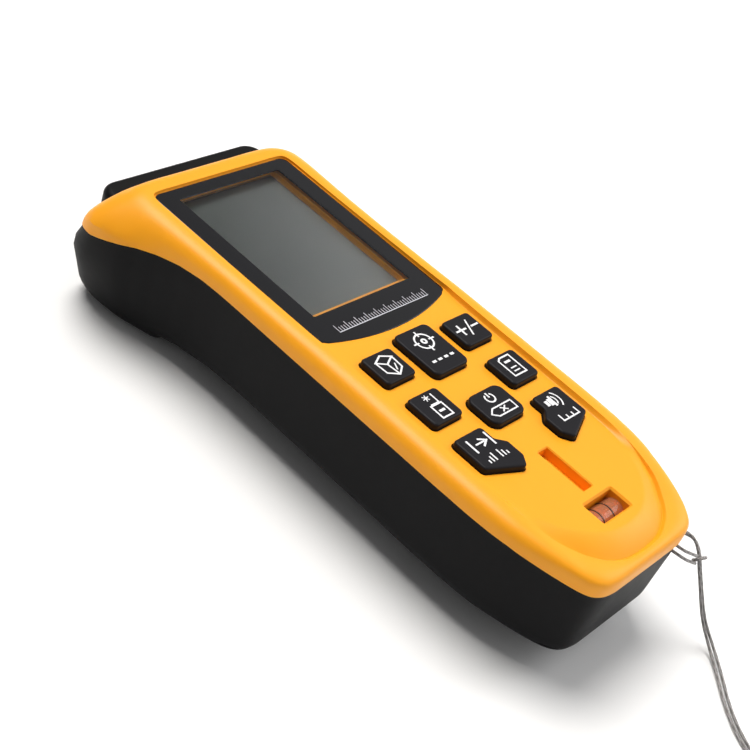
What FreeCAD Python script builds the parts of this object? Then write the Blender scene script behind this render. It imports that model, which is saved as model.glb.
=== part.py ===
import FreeCAD, Part
import math
import os

# Pocket laser distance meter, 115 mm class, lying on its back.
# Millimetres. +Z comes out of the keypad face, +Y points to the laser end, +X is the user's right.
# The origin is under the middle of the instrument, on the surface that it lies on.

V = FreeCAD.Vector

# ---- driving dimensions ----
FACE_Z = 25.5            # raised rim of the face
FLOOR_Z = 24.6           # sunk keypad floor
COVER_UNDER_Z = 22.9     # underside of the front cover's top wall
WALL = 1.7               # side wall of both covers
EDGE_R = 3.6             # rounding of the face's outer edge
BACK_R = 4.6             # rounding of the back's outer edge
TAIL_Y = -56.9           # flat tail end
NOSE_Y = 56.9            # front of the optics bezel

LENS_HALF = 16.1         # display window, half width
LENS_TOP_Y = 46.2
LENS_SIDE_Y = 3.3
LENS_DIP_Y = 0.2         # lowest point of its bowed lower edge
LENS_CORNER = 1.6
LENS_TOP_Z = 24.75
LENS_THICK = 1.0
LCD_HALF = 13.2
LCD_Y = (7.6, 44.6)
LCD_TOP_Z = 23.5

KEY_TOP_Z = 25.8
KEY_TRAVEL = 0.7
KEY_GAP = 0.3            # clearance round each key in the cover and in the mat
KEY_CORNER = 0.8
MAT_Z = (21.9, 22.85)
BOARD_Z = (18.4, 19.6)
DOME_HEIGHT = 0.3

CELL_R = 5.25            # AAA cell
CELL_LENGTH = 44.5
CELL_X = 5.5
CELL_Z = 11.2
CELL_TAIL_Y = -46.6
DOOR_HALF = 13.6
DOOR_FRONT_Y = 1.5
DOOR_INNER_Z = 5.7
DOOR_GAP = 0.3

VIAL_Y = -46.5           # bubble vial, its axis along X
VIAL_Z = 21.2
VIAL_R = 2.3
VIAL_HALF = 5.2

OPTIC_Z = 11.5           # height of both optical axes
RECEIVER_X = 6.5
LASER_X = -11.5
RECEIVER_R = 7.0
LASER_R = 3.0

SCREWS = [(17.0, 30.0), (-17.0, 30.0), (16.4, -20.0), (-16.4, -20.0)]
BOSS_R = 1.9

# Outer sections from tail to head:
# y, top z, top edge radius, half width of the top, widest half width, its z, lower half width, back radius, back z
SECTIONS = [
    (-56.9, 21.3, 1.6, 10.9, 11.1, 19.3, 10.6, 3.6, 8.6),
    (-56.1, 22.6, 2.4, 12.3, 12.5, 19.4, 12.0, 4.0, 6.6),
    (-54.4, 23.2, 3.0, 14.1, 14.2, 19.6, 13.7, BACK_R, 5.2),
    (-51.2, 23.9, 3.2, 15.8, 15.9, 20.2, 15.3, BACK_R, 4.5),
    (-46.5, 24.6, 3.3, 17.7, 17.8, 21.0, 17.1, BACK_R, 4.2),
    (-41.5, 25.1, 3.3, 19.1, 19.2, 21.6, 18.4, BACK_R, 4.1),
    (-36.0, 25.4, 3.4, 19.8, 19.9, 21.7, 19.1, BACK_R, 4.1),
    (-28.0, FACE_Z, EDGE_R, 20.0, 20.1, 21.8, 19.3, BACK_R, 4.1),
    (22.5, FACE_Z, EDGE_R, 20.0, 20.1, 21.7, 19.3, BACK_R, 3.6),
    (33.4, FACE_Z, EDGE_R, 20.2, 20.7, 19.0, 19.9, BACK_R, 1.8),
    (34.4, FACE_Z, EDGE_R, 20.3, 20.9, 18.6, 20.2, BACK_R, 0.5),
    (40.5, FACE_Z, EDGE_R, 20.5, 22.6, 17.2, 21.5, BACK_R, 0.1),
    (45.0, FACE_Z, EDGE_R, 20.6, 24.4, 16.4, 22.7, BACK_R, 0.0),
    (49.0, 25.2, EDGE_R, 20.0, 25.6, 15.6, 23.6, BACK_R, 0.0),
    (51.4, 24.2, EDGE_R, 19.0, 25.8, 15.2, 23.8, BACK_R, 0.2),
    (53.8, 20.8, EDGE_R, 18.4, 24.6, 12.5, 22.8, 4.0, 0.9),
    (55.6, 16.8, 3.0, 17.6, 22.6, 11.2, 21.0, 3.4, 2.4),
    (56.4, 14.6, 2.4, 16.2, 19.8, 10.2, 19.0, 2.8, 4.2),
]

# Parting line between the two covers, seen from the side: y, z
PARTING = [(-60.0, 19.5), (-56.0, 19.4), (-51.2, 20.3), (-46.5, 21.1), (-40.0, 21.8), (-28.0, 22.0),
           (20.0, 21.8), (27.5, 21.5), (33.0, 20.9), (37.0, 19.8), (41.0, 18.6), (44.5, 17.3),
           (48.0, 16.0), (52.0, 15.6), (60.0, 15.6)]

# Wrist lanyard: a thin doubled string, hitched through the tail's corner tunnel, its far end wound up.
STRAND_R = 0.37
STRAND_A = [(14.9, -59.2, 16.1), (12.9, -58.6, 17.3), (10.4, -57.7, 18.8), (10.1, -54.6, 18.85),
            (12.6, -54.3, 18.8), (14.9, -55.2, 18.5), (16.1, -57.0, 17.7), (16.0, -58.7, 16.3),
            (15.5, -60.2, 14.2), (15.6, -61.9, 11.4), (16.3, -65.2, 5.2), (17.1, -68.4, 1.1),
            (13.8, -72.6, 0.42), (9.3, -77.1, 0.45), (5.5, -82.4, 0.42), (3.6, -88.0, 0.45),
            (2.9, -92.4, 0.7)]
STRAND_B = [(14.6, -59.6, 14.9), (12.3, -59.0, 16.2), (9.9, -57.8, 17.85), (9.3, -54.1, 17.95),
            (12.2, -53.9, 17.9), (15.4, -54.9, 17.6), (16.9, -56.9, 17.05), (16.7, -58.75, 15.75),
            (16.25, -60.3, 13.65), (16.45, -62.0, 10.75), (17.15, -65.3, 4.9), (18.2, -68.6, 0.9),
            (14.5, -73.2, 0.45), (9.95, -77.7, 0.42), (6.3, -82.8, 0.45), (4.45, -88.2, 0.42),
            (3.75, -92.6, 0.7)]
HITCH = (16.09, -59.49, 14.99)
HITCH_AXIS = (-0.2, -0.59, -0.78)
COIL_CENTRE = (-1.2, -94.6)
COIL_R = (3.3, 5.5)
COIL_HEIGHT = 4.0
KNOT_R = 1.2


def export(shape, node):
    """Write one node as a STEP file."""
    shape.exportStep("parts/" + node + ".step")
    print(node, "volume %.1f" % shape.Volume, "valid", shape.isValid())


def box(x, y, z):
    """Box from three (low, high) pairs."""
    return Part.makeBox(x[1] - x[0], y[1] - y[0], z[1] - z[0], V(x[0], y[0], z[0]))


def rod(radius, start, end):
    """Cylinder between two points."""
    axis = end - start
    return Part.makeCylinder(radius, axis.Length, start, axis)


def corner_path(points, radii, closed):
    """Wire of straight runs joined by tangent arcs, one radius for each turned point."""
    count = len(points)
    turned = range(count) if closed else range(1, count - 1)
    entry = {}
    for i in turned:
        before = points[i - 1] - points[i]
        after = points[(i + 1) % count] - points[i]
        before.normalize()
        after.normalize()
        half_turn = (math.pi - before.getAngle(after)) / 2
        reach = radii[i] * math.tan(half_turn)
        middle = before + after
        middle.normalize()
        to_arc = radii[i] / math.cos(half_turn) - radii[i]
        entry[i] = (points[i] + before * reach, points[i] + middle * to_arc, points[i] + after * reach)
    edges = []
    last = count if closed else count - 1
    for i in range(last):
        j = (i + 1) % count
        start = entry[i][2] if i in entry else points[i]
        end = entry[j][0] if j in entry else points[j]
        edges.append(Part.LineSegment(start, end).toShape())
        if j in entry:
            edges.append(Part.Arc(*entry[j]).toShape())
    return Part.Wire(edges)


def plate(outline, radius, z):
    """Flat plate with rounded corners from an outline of (x, y) points, between two heights."""
    points = [V(px, py, z[0]) for px, py in outline]
    wire = corner_path(points, [radius] * len(points), True)
    return Part.Face(wire).extrude(V(0, 0, z[1] - z[0]))


def section_wire(section, inset):
    """Closed cross-section of the body at one station, drawn in by an even amount."""
    y, top, top_r, half_top, half_mid, mid, half_low, low_r, low = section
    top -= inset
    low += inset
    top_r = max(top_r - inset, 0.8)
    low_r = max(low_r - inset, 0.8)
    half_top -= inset
    half_mid -= inset
    half_low -= inset
    diagonal = 1 - math.sqrt(0.5)

    def point(x, z):
        return V(x, y, z)

    edges = [Part.LineSegment(point(top_r - half_top, top), point(half_top - top_r, top)).toShape()]
    for side in (1, -1):
        top_edge = point(side * (half_top - top_r), top)
        top_bend = point(side * (half_top - top_r * diagonal), top - top_r * diagonal)
        shoulder = point(side * half_top, top - top_r)
        waist = point(side * half_mid, min(mid, top - top_r - 0.3))
        hip = point(side * half_low, low + low_r)
        low_bend = point(side * (half_low - low_r * diagonal), low + low_r * diagonal)
        low_edge = point(side * (half_low - low_r), low)
        run = [
            Part.Arc(top_edge, top_bend, shoulder).toShape(),
            Part.LineSegment(shoulder, waist).toShape(),
            Part.LineSegment(waist, hip).toShape(),
            Part.Arc(hip, low_bend, low_edge).toShape(),
        ]
        if side == 1:
            edges += run
            edges.append(Part.LineSegment(low_edge, point(low_r - half_low, low)).toShape())
        else:
            edges += run[::-1]
    return Part.Wire(Part.__sortEdges__(edges))


def outer_body():
    """Whole outer form of the two covers together."""
    return Part.makeLoft([section_wire(s, 0.0) for s in SECTIONS], True, True)


def inner_space():
    """Hollow inside the covers, one wall thickness in."""
    kept = [s for s in SECTIONS if -55.0 < s[0] < 52.0]
    wires = [section_wire(s, WALL) for s in kept]
    space = Part.makeLoft(wires, True, True)
    lid = box((-40, 40), (-80, 80), (COVER_UNDER_Z, 40))
    return space.cut(lid)


def above_parting():
    """Everything above the parting line."""
    points = [V(-60, y, z) for y, z in PARTING] + [V(-60, 60, 60), V(-60, -60, 60)]
    return Part.Face(Part.makePolygon(points + points[:1])).extrude(V(120, 0, 0))


def lens_outline(grow):
    """Outline of the display window, its lower edge bowed, as one face at z = 0."""
    half = LENS_HALF + grow
    top = LENS_TOP_Y + grow
    side = LENS_SIDE_Y - grow
    r = LENS_CORNER
    bend = r * (1 - math.sqrt(0.5))
    edges = [
        Part.LineSegment(V(-half + r, top, 0), V(half - r, top, 0)).toShape(),
        Part.Arc(V(half - r, top, 0), V(half - bend, top - bend, 0), V(half, top - r, 0)).toShape(),
        Part.LineSegment(V(half, top - r, 0), V(half, side, 0)).toShape(),
        Part.Arc(V(half, side, 0), V(0, LENS_DIP_Y - grow, 0), V(-half, side, 0)).toShape(),
        Part.LineSegment(V(-half, side, 0), V(-half, top - r, 0)).toShape(),
        Part.Arc(V(-half, top - r, 0), V(bend - half, top - bend, 0), V(r - half, top, 0)).toShape(),
    ]
    return Part.Face(Part.Wire(edges))


def lens_plate(grow, z):
    """Window-shaped plate between two heights."""
    face = lens_outline(grow)
    face.translate(V(0, 0, z[0]))
    return face.extrude(V(0, 0, z[1] - z[0]))


# Key outlines as (x, y) corners; left and right columns mirror each other.
ROW_X = (6.7, 13.8)
ROW_1_Y = (-10.2, -3.4)
ROW_2_Y = (-20.8, -14.0)


def rectangle(x, y):
    """Corners of a rectangle."""
    return [(x[0], y[0]), (x[1], y[0]), (x[1], y[1]), (x[0], y[1])]


def lower_key():
    """Corners of the right-hand key of the last row, cut back beside the middle key."""
    return [(5.1, -32.4), (6.6, -34.4), (13.8, -31.3), (13.8, -24.3), (6.8, -24.3), (6.8, -27.3), (5.1, -28.9)]


def mirrored(outline):
    """The same outline on the other side of the middle line."""
    return [(-x, y) for x, y in outline[::-1]]


KEYS = {
    "key_read": rectangle((-4.3, 4.3), (-12.7, -1.9)),
    "key_clear": rectangle((-4.2, 4.2), (-25.8, -18.6)),
    "key_plus_minus": rectangle(ROW_X, ROW_1_Y),
    "key_memory": rectangle(ROW_X, ROW_2_Y),
    "key_unit": lower_key(),
    "key_area": mirrored(rectangle(ROW_X, ROW_1_Y)),
    "key_reference": mirrored(rectangle(ROW_X, ROW_2_Y)),
    "key_max_min": mirrored(lower_key()),
}


def middle(outline):
    """Middle of an outline's extent."""
    xs = [p[0] for p in outline]
    ys = [p[1] for p in outline]
    return (min(xs) + max(xs)) / 2, (min(ys) + max(ys)) / 2


def grown_key(outline, grow, z):
    """Key-shaped plate with every side moved out."""
    key = plate(outline, KEY_CORNER, (0, 1))
    face = [f for f in key.Faces if abs(f.CenterOfMass.z) < 1e-6][0]
    wire = face.OuterWire.makeOffset2D(grow) if grow else face.OuterWire
    grown = Part.Face(wire)
    grown.translate(V(0, 0, z[0]))
    return grown.extrude(V(0, 0, z[1] - z[0]))


def key(outline):
    """Key cap with a soft top edge and the short post that presses its switch."""
    cap = grown_key(outline, 0, (MAT_Z[0], KEY_TOP_Z))
    rim = [e for e in cap.Edges if e.BoundBox.ZMin > KEY_TOP_Z - 0.01]
    cap = cap.makeFillet(0.35, rim)
    x, y = middle(outline)
    post_end = BOARD_Z[1] + DOME_HEIGHT + KEY_TRAVEL + 0.2
    return cap.fuse(rod(1.2, V(x, y, post_end), V(x, y, MAT_Z[0] + 0.5)))


def recess_wire(grow, z):
    """Outline of the sunk keypad floor with its round tail end, moved out by an even amount."""
    half = 14.8 + grow
    top = 4.5 + grow
    bend_y = -36.2
    tail = V(0, bend_y - half, z)
    edges = [
        Part.LineSegment(V(-half, top, z), V(-half, bend_y, z)).toShape(),
        Part.Arc(V(-half, bend_y, z), tail, V(half, bend_y, z)).toShape(),
        Part.LineSegment(V(half, bend_y, z), V(half, top, z)).toShape(),
        Part.LineSegment(V(half, top, z), V(-half, top, z)).toShape(),
    ]
    return Part.Wire(edges)


def keypad_recess():
    """Sunk keypad floor, sloping out to the rim."""
    return Part.makeLoft([recess_wire(0.0, FLOOR_Z), recess_wire(1.0, FACE_Z + 0.01)], True, True)


def keypad_plateau():
    """Tail half of the keypad floor, which stands above the drooping tail end on a slope."""
    slope = Part.makeLoft([recess_wire(3.9, FLOOR_Z - 1.6), recess_wire(0.0, FLOOR_Z)], True, True)
    return slope.common(box((-30, 30), (-60, -40), (20, 30)))


def chamfered_opening(x, y, z, chamfer):
    """Rectangular opening whose upper edge is chamfered."""
    low = Part.makePolygon([V(a, b, z[1] - chamfer) for a, b in rectangle(x, y) + [(x[0], y[0])]])
    wide = rectangle((x[0] - chamfer, x[1] + chamfer), (y[0] - chamfer, y[1] + chamfer))
    high = Part.makePolygon([V(a, b, z[1] + 0.01) for a, b in wide + wide[:1]])
    return box(x, y, (z[0], z[1] - chamfer + 0.01)).fuse(Part.makeLoft([low, high], True, True))


SLOT_X = (-1.25, 1.25)
SLOT_Y = (-42.4, -32.8)
SLOT_FLOOR_Z = 22.6
VIAL_WINDOW_X = (-3.7, 3.7)
VIAL_WINDOW_Y = (-48.6, -44.4)


def front_cover(outer, inner):
    """Yellow front cover: top wall, sides down to the parting line, openings and screw bosses."""
    cover = outer.common(above_parting()).cut(inner)
    cover = cover.fuse(box((-2.6, 2.6), (SLOT_Y[0] - 1.2, SLOT_Y[1] + 1.2), (SLOT_FLOOR_Z - 1.1, COVER_UNDER_Z)))
    cover = cover.fuse(keypad_plateau()).cut(keypad_recess())
    cover = cover.cut(lens_plate(0.1, (LENS_TOP_Z - LENS_THICK, 40)))
    cover = cover.cut(box((-12.3, 12.3), (8.9, 43.6), (20, 40)))
    cover = cover.cut(box((-LCD_HALF - 0.2, LCD_HALF + 0.2), (LCD_Y[0] - 0.2, LCD_Y[1] + 0.2), (20, LCD_TOP_Z)))
    for outline in KEYS.values():
        cover = cover.cut(grown_key(outline, KEY_GAP, (20, 40)))
    cover = cover.cut(chamfered_opening(SLOT_X, SLOT_Y, (SLOT_FLOOR_Z, FLOOR_Z), 0.5))
    cover = cover.cut(chamfered_opening(VIAL_WINDOW_X, VIAL_WINDOW_Y, (20, FLOOR_Z), 0.5))
    cover = cover.cut(box((-5.6, 5.6), (VIAL_Y - 2.6, VIAL_Y + 2.6), (20, VIAL_Z + VIAL_R + 0.2)))
    for x, y in SCREWS:
        boss = rod(BOSS_R, V(x, y, 12.0), V(x, y, COVER_UNDER_Z + 0.1))
        cover = cover.fuse(boss.cut(rod(0.85, V(x, y, 11.0), V(x, y, 20.0))))
    return cover.cut(nose_block(0.0))


def nose_block(grow):
    """Space that the optics bezel fills through the front of both covers."""
    half = 19.0 + grow
    outline = [(-half, 47.0), (half, 47.0), (half, NOSE_Y), (-half, NOSE_Y)]
    top = 20.9 + grow
    block = plate(outline, 3.5, (2.2 - grow, top))
    return block


def front_bezel():
    """Black optics bezel across the laser end, with the two optical openings."""
    bezel = nose_block(0.0)
    rim = [e for e in bezel.Edges if e.BoundBox.ZMin > 20.8 or e.BoundBox.ZMax < 2.3]
    front = [e for e in rim if e.BoundBox.YMax > 50]
    bezel = bezel.makeFillet(1.4, front)
    bezel = bezel.cut(box((-17.4, 17.4), (46, NOSE_Y - 3.4), (3.8, 19.3)))
    bezel = bezel.cut(rod(RECEIVER_R + 0.6, V(RECEIVER_X, 46, OPTIC_Z), V(RECEIVER_X, 60, OPTIC_Z)))
    bezel = bezel.cut(rod(LASER_R + 0.4, V(LASER_X, 46, OPTIC_Z), V(LASER_X, 60, OPTIC_Z)))
    return bezel


def tunnel():
    """Strap tunnel behind a post in the tail's right corner: one mouth in the end, one in the side."""
    end_mouth = box((8.4, 11.4), (-60, -53.0), (17.2, 19.5))
    across = box((8.4, 24.0), (-55.6, -53.0), (17.2, 19.5))
    return end_mouth.fuse(across)


def strap_housing():
    """Solid block inside the tail corner that carries the strap tunnel."""
    return box((7.0, 16.5), (-57.5, -51.7), (15.9, 20.4))


def door_space(grow):
    """Block that the battery door is taken from, open towards the tail."""
    return box((-DOOR_HALF - grow, DOOR_HALF + grow), (-70, DOOR_FRONT_Y + grow), (-5, DOOR_INNER_Z + grow))


def rear_cover(outer, inner):
    """Black rear cover with the battery opening, screw wells, front opening and strap tunnel."""
    below = outer.cut(above_parting())
    cover = below.cut(inner).fuse(strap_housing().common(below))
    cover = cover.cut(tunnel())
    cover = cover.cut(door_space(DOOR_GAP))
    for x, y in SCREWS:
        floor = cover_floor(y)
        well = rod(2.4, V(x, y, floor), V(x, y, 11.6)).common(below)
        cover = cover.fuse(well)
        cover = cover.cut(rod(1.95, V(x, y, -5), V(x, y, floor + 3.6)))
        cover = cover.cut(rod(0.95, V(x, y, -5), V(x, y, 20)))
        cover = cover.cut(rod(BOSS_R + 0.1, V(x, y, 11.8), V(x, y, COVER_UNDER_Z)))
    return cover.cut(nose_block(0.0))


def cover_floor(y):
    """Height of the back's outer face at one station."""
    for low, high in zip(SECTIONS, SECTIONS[1:]):
        if low[0] <= y <= high[0]:
            part = (y - low[0]) / (high[0] - low[0])
            return low[8] + part * (high[8] - low[8])
    raise ValueError("outside the body")


def battery_door(outer):
    """Battery door, flush with the back, with grip ridges; it slides off towards the tail."""
    door = outer.common(door_space(0.0))
    for step in range(5):
        y = -8.0 - 1.8 * step
        door = door.cut(box((-5.0, 5.0), (y, y + 0.8), (-5, cover_floor(y) + 0.4)))
    return door


def battery_tray():
    """Bay that holds the two cells, open on the door's side."""
    y = (CELL_TAIL_Y - 3.2, CELL_TAIL_Y + CELL_LENGTH + 3.2)
    tray = box((-12.6, 12.6), y, (DOOR_INNER_Z + 2.0, CELL_Z + CELL_R + 1.1))
    inside = box((-11.4, 11.4), (y[0] + 1.0, y[1] - 1.0), (0, CELL_Z + CELL_R + 0.1))
    return tray.cut(inside)


def battery_cell(x, nub_at_head):
    """One AAA cell with its raised terminal."""
    body_length = CELL_LENGTH - 1.0
    start = CELL_TAIL_Y + (0.0 if nub_at_head else 1.0)
    can = rod(CELL_R, V(x, start, CELL_Z), V(x, start + body_length, CELL_Z))
    nub_y = start + body_length if nub_at_head else CELL_TAIL_Y
    return can.fuse(rod(1.9, V(x, nub_y, CELL_Z), V(x, nub_y + 1.0, CELL_Z)))


def contact_springs():
    """Coiled negative contacts, one for each cell, pressed nearly flat."""
    rings = []
    for x, y, way in ((-CELL_X, CELL_TAIL_Y, -1), (CELL_X, CELL_TAIL_Y + CELL_LENGTH, 1)):
        for turn in range(3):
            at = V(x, y + way * (0.35 + 0.62 * turn), CELL_Z)
            rings.append(Part.makeTorus(2.2 + 0.5 * turn, 0.3, at, V(0, 1, 0)))
    return Part.makeCompound(rings)


def contact_plates():
    """Positive contact plates, one for each cell."""
    plates = []
    for x, y, way in ((CELL_X, CELL_TAIL_Y, -1), (-CELL_X, CELL_TAIL_Y + CELL_LENGTH, 1)):
        far = y + way * 0.5
        plates.append(box((x - 4.0, x + 4.0), (min(y, far), max(y, far)), (CELL_Z - 3.5, CELL_Z + 3.5)))
    return Part.makeCompound(plates)


def keypad_mat():
    """Rubber sheet under the cover that the keys grow out of, notched for the slot's well."""
    mat = plate(rectangle((-16.2, 16.2), (-36.6, 0.4)), 1.5, MAT_Z)
    mat = mat.cut(box((-3.1, 3.1), (-40, SLOT_Y[1] + 1.7), (20, 24)))
    for x, y in SCREWS:
        mat = mat.cut(rod(BOSS_R + 0.15, V(x, y, 20), V(x, y, 24)))
    for outline in KEYS.values():
        mat = mat.cut(grown_key(outline, KEY_GAP, (20, 24)))
    return mat


def dome_switches():
    """Metal snap domes on the board, one under each key."""
    domes = []
    for outline in KEYS.values():
        x, y = middle(outline)
        ball_r = (2.0 ** 2 + DOME_HEIGHT ** 2) / (2 * DOME_HEIGHT)
        ball = Part.makeSphere(ball_r, V(x, y, BOARD_Z[1] + DOME_HEIGHT - ball_r))
        above = box((x - 5, x + 5), (y - 5, y + 5), (BOARD_Z[1], BOARD_Z[1] + 2))
        domes.append(ball.common(above))
    return Part.makeCompound(domes)


def main_board():
    """Main circuit board, cut round the screw bosses."""
    board = plate(rectangle((-17.4, 17.4), (-38.5, 46.0)), 1.5, BOARD_Z)
    board = board.cut(rod(7.0, V(0, -45, 10), V(0, -45, 30)))
    for x, y in SCREWS:
        board = board.cut(rod(2.3, V(x, y, 10), V(x, y, 30)))
        board = board.cut(box((min(x, x + math.copysign(4, x)), max(x, x + math.copysign(4, x))),
                              (y - 2.3, y + 2.3), (10, 30)))
    return board


def board_parts():
    """Shielded measuring circuit, processor and memory under the board's head half."""
    z = BOARD_Z[0]
    shield = box((-6.0, 12.0), (14.0, 27.0), (z - 2.4, z))
    processor = box((-15.0, -8.0), (18.0, 25.0), (z - 1.0, z))
    memory = box((4.0, 9.0), (5.5, 10.5), (z - 0.9, z))
    return Part.makeCompound([shield, processor, memory])


def buzzer():
    """Round sounder under the board."""
    return rod(4.4, V(-8.5, 10.0, BOARD_Z[0] - 3.2), V(-8.5, 10.0, BOARD_Z[0]))


def vial():
    """Glass tube of the bubble level, closed at both ends."""
    tube = rod(VIAL_R, V(-VIAL_HALF, VIAL_Y, VIAL_Z), V(VIAL_HALF, VIAL_Y, VIAL_Z))
    return tube.cut(rod(VIAL_R - 0.4, V(0.5 - VIAL_HALF, VIAL_Y, VIAL_Z), V(VIAL_HALF - 0.5, VIAL_Y, VIAL_Z)))


def vial_liquid():
    """Liquid in the level with its bubble under the tube's top."""
    ends = VIAL_HALF - 0.5
    liquid = rod(VIAL_R - 0.4, V(-ends, VIAL_Y, VIAL_Z), V(ends, VIAL_Y, VIAL_Z))
    return liquid.cut(Part.makeSphere(1.2, V(-0.6, VIAL_Y, VIAL_Z + 0.7)))


def vial_cradle():
    """Cradle under the bubble level."""
    block = box((-6.2, 6.2), (VIAL_Y - 3.0, VIAL_Y + 3.0), (18.2, VIAL_Z))
    return block.cut(rod(VIAL_R, V(-8, VIAL_Y, VIAL_Z), V(8, VIAL_Y, VIAL_Z)))


def optics_block():
    """Moulded chassis that lines up the laser and the receiving lens."""
    block = box((-16.8, 13.8 + 1.6), (36.0, NOSE_Y - 4.0), (4.4, 17.9))
    lens_seat = NOSE_Y - 8.0
    wide = rod(RECEIVER_R + 0.05, V(RECEIVER_X, lens_seat, OPTIC_Z), V(RECEIVER_X, 60, OPTIC_Z))
    throat = Part.makeCone(2.0, RECEIVER_R - 1.2, lens_seat - 37.6, V(RECEIVER_X, 37.6, OPTIC_Z), V(0, 1, 0))
    pocket = rod(2.0, V(RECEIVER_X, 30, OPTIC_Z), V(RECEIVER_X, 37.7, OPTIC_Z))
    bore = rod(LASER_R, V(LASER_X, 30, OPTIC_Z), V(LASER_X, 60, OPTIC_Z))
    block = block.cut(wide).cut(throat).cut(pocket).cut(bore)
    for x, y in SCREWS:
        block = block.cut(rod(3.3, V(x, y, 0), V(x, y, 30)))
    return block


def receiver_lens():
    """Plano-convex receiving lens, its round side to the front."""
    back = NOSE_Y - 8.0
    edge = 1.6
    bulge = 1.7
    ball_r = (RECEIVER_R ** 2 + bulge ** 2) / (2 * bulge)
    disc = rod(RECEIVER_R, V(RECEIVER_X, back, OPTIC_Z), V(RECEIVER_X, back + edge + bulge, OPTIC_Z))
    ball = Part.makeSphere(ball_r, V(RECEIVER_X, back + edge + bulge - ball_r, OPTIC_Z))
    return disc.common(ball)


def receiver_board():
    """Small board with the light detector behind the chassis."""
    board = box((-3.5, 15.0), (33.2, 34.2), (5.0, 17.5))
    board = board.cut(rod(3.3, V(16.6, 35.5, 0), V(16.6, 35.5, 30)))
    detector = rod(1.8, V(RECEIVER_X, 34.2, OPTIC_Z), V(RECEIVER_X, 36.8, OPTIC_Z))
    return board.fuse(detector)


def laser_module():
    """Laser diode barrel with its stepped collimator."""
    barrel = rod(LASER_R - 0.02, V(LASER_X, 33.5, OPTIC_Z), V(LASER_X, NOSE_Y - 6.0, OPTIC_Z))
    aperture = rod(1.1, V(LASER_X, NOSE_Y - 9.0, OPTIC_Z), V(LASER_X, NOSE_Y, OPTIC_Z))
    return barrel.cut(aperture)


def window(x, radius):
    """Flat glass window set into the bezel's face."""
    return rod(radius, V(x, NOSE_Y - 2.2, OPTIC_Z), V(x, NOSE_Y - 1.0, OPTIC_Z))


def case_screws():
    """Four screws that hold the covers together from the back."""
    screws = []
    for x, y in SCREWS:
        seat = cover_floor(y) + 3.6
        head = rod(1.8, V(x, y, seat - 1.5), V(x, y, seat))
        head = head.cut(box((x - 1.3, x + 1.3), (y - 0.25, y + 0.25), (seat - 2, seat - 0.9)))
        head = head.cut(box((x - 0.25, x + 0.25), (y - 1.3, y + 1.3), (seat - 2, seat - 0.9)))
        screws.append(head.fuse(rod(0.8, V(x, y, seat), V(x, y, 18.5))))
    return Part.makeCompound(screws)


def cord_tube(points, radius):
    """Tube along straight runs joined by arcs as large as the runs allow."""
    route = [V(*p) for p in points]
    radii = [0.0] * len(route)
    for i in range(1, len(route) - 1):
        before = route[i - 1] - route[i]
        after = route[i + 1] - route[i]
        half_turn = (math.pi - before.getAngle(after)) / 2
        radii[i] = 0.45 * min(before.Length, after.Length) / math.tan(half_turn)
    path = corner_path(route, radii, False)
    start = Part.Circle(route[0], route[1] - route[0], radius).toShape()
    tube = path.makePipeShell([Part.Wire([start])], True, True)
    print("radii", ["%.1f" % r for r in radii[1:-1]], "length %.1f" % path.Length)
    print("volume over section times length", tube.Volume / (math.pi * radius ** 2 * path.Length))
    return tube


def hitch_ring():
    """Bend of the doubled string that holds its own two strands."""
    return Part.makeTorus(1.25, STRAND_R, V(*HITCH), V(*HITCH_AXIS))


def coil():
    """Outer form of the wound-up end of the string."""
    centre = V(COIL_CENTRE[0], COIL_CENTRE[1], 0)
    top = centre + V(0, 0, COIL_HEIGHT)
    return rod(COIL_R[1], centre, top).cut(rod(COIL_R[0], centre, top))


def end_knot():
    """Knot that ties the string's two ends together, beside the coil."""
    return Part.makeSphere(KNOT_R, V(COIL_CENTRE[0] - COIL_R[1] - KNOT_R, COIL_CENTRE[1], KNOT_R))


def main():
    os.makedirs("parts", exist_ok=True)
    outer = outer_body()
    inner = inner_space()
    print("outer", outer.Volume, outer.isValid(), "inner", inner.Volume, inner.isValid())
    export(front_cover(outer, inner), "front_cover")
    export(rear_cover(outer, inner), "rear_cover")
    export(front_bezel(), "front_bezel")
    export(lens_plate(0.0, (LENS_TOP_Z - LENS_THICK, LENS_TOP_Z)), "display_lens")
    lcd_x = (-LCD_HALF, LCD_HALF)
    export(box(lcd_x, LCD_Y, (LCD_TOP_Z - 1.6, LCD_TOP_Z)), "lcd_panel")
    export(box(lcd_x, LCD_Y, (BOARD_Z[1], LCD_TOP_Z - 1.6)), "lcd_backlight")
    for name, outline in KEYS.items():
        export(key(outline), name)
    export(keypad_mat(), "keypad_mat")
    export(dome_switches(), "dome_switches")
    export(main_board(), "main_board")
    export(board_parts(), "board_parts")
    export(buzzer(), "buzzer")
    export(vial(), "bubble_vial")
    export(vial_liquid(), "vial_liquid")
    export(vial_cradle(), "vial_cradle")
    export(battery_door(outer), "battery_door")
    export(battery_tray(), "battery_tray")
    export(battery_cell(-CELL_X, True), "battery_cell_left")
    export(battery_cell(CELL_X, False), "battery_cell_right")
    export(contact_springs(), "contact_springs")
    export(contact_plates(), "contact_plates")
    export(optics_block(), "optics_block")
    export(receiver_lens(), "receiver_lens")
    export(receiver_board(), "receiver_board")
    export(laser_module(), "laser_module")
    export(window(RECEIVER_X, RECEIVER_R + 0.6), "receiver_window")
    export(window(LASER_X, LASER_R + 0.4), "laser_window")
    export(case_screws(), "case_screws")
    export(cord_tube(STRAND_A, STRAND_R), "lanyard_strand_a")
    export(cord_tube(STRAND_B, STRAND_R), "lanyard_strand_b")
    export(hitch_ring(), "lanyard_hitch")
    export(coil(), "lanyard_coil")
    export(end_knot(), "lanyard_knot")


main()
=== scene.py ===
import math

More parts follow.
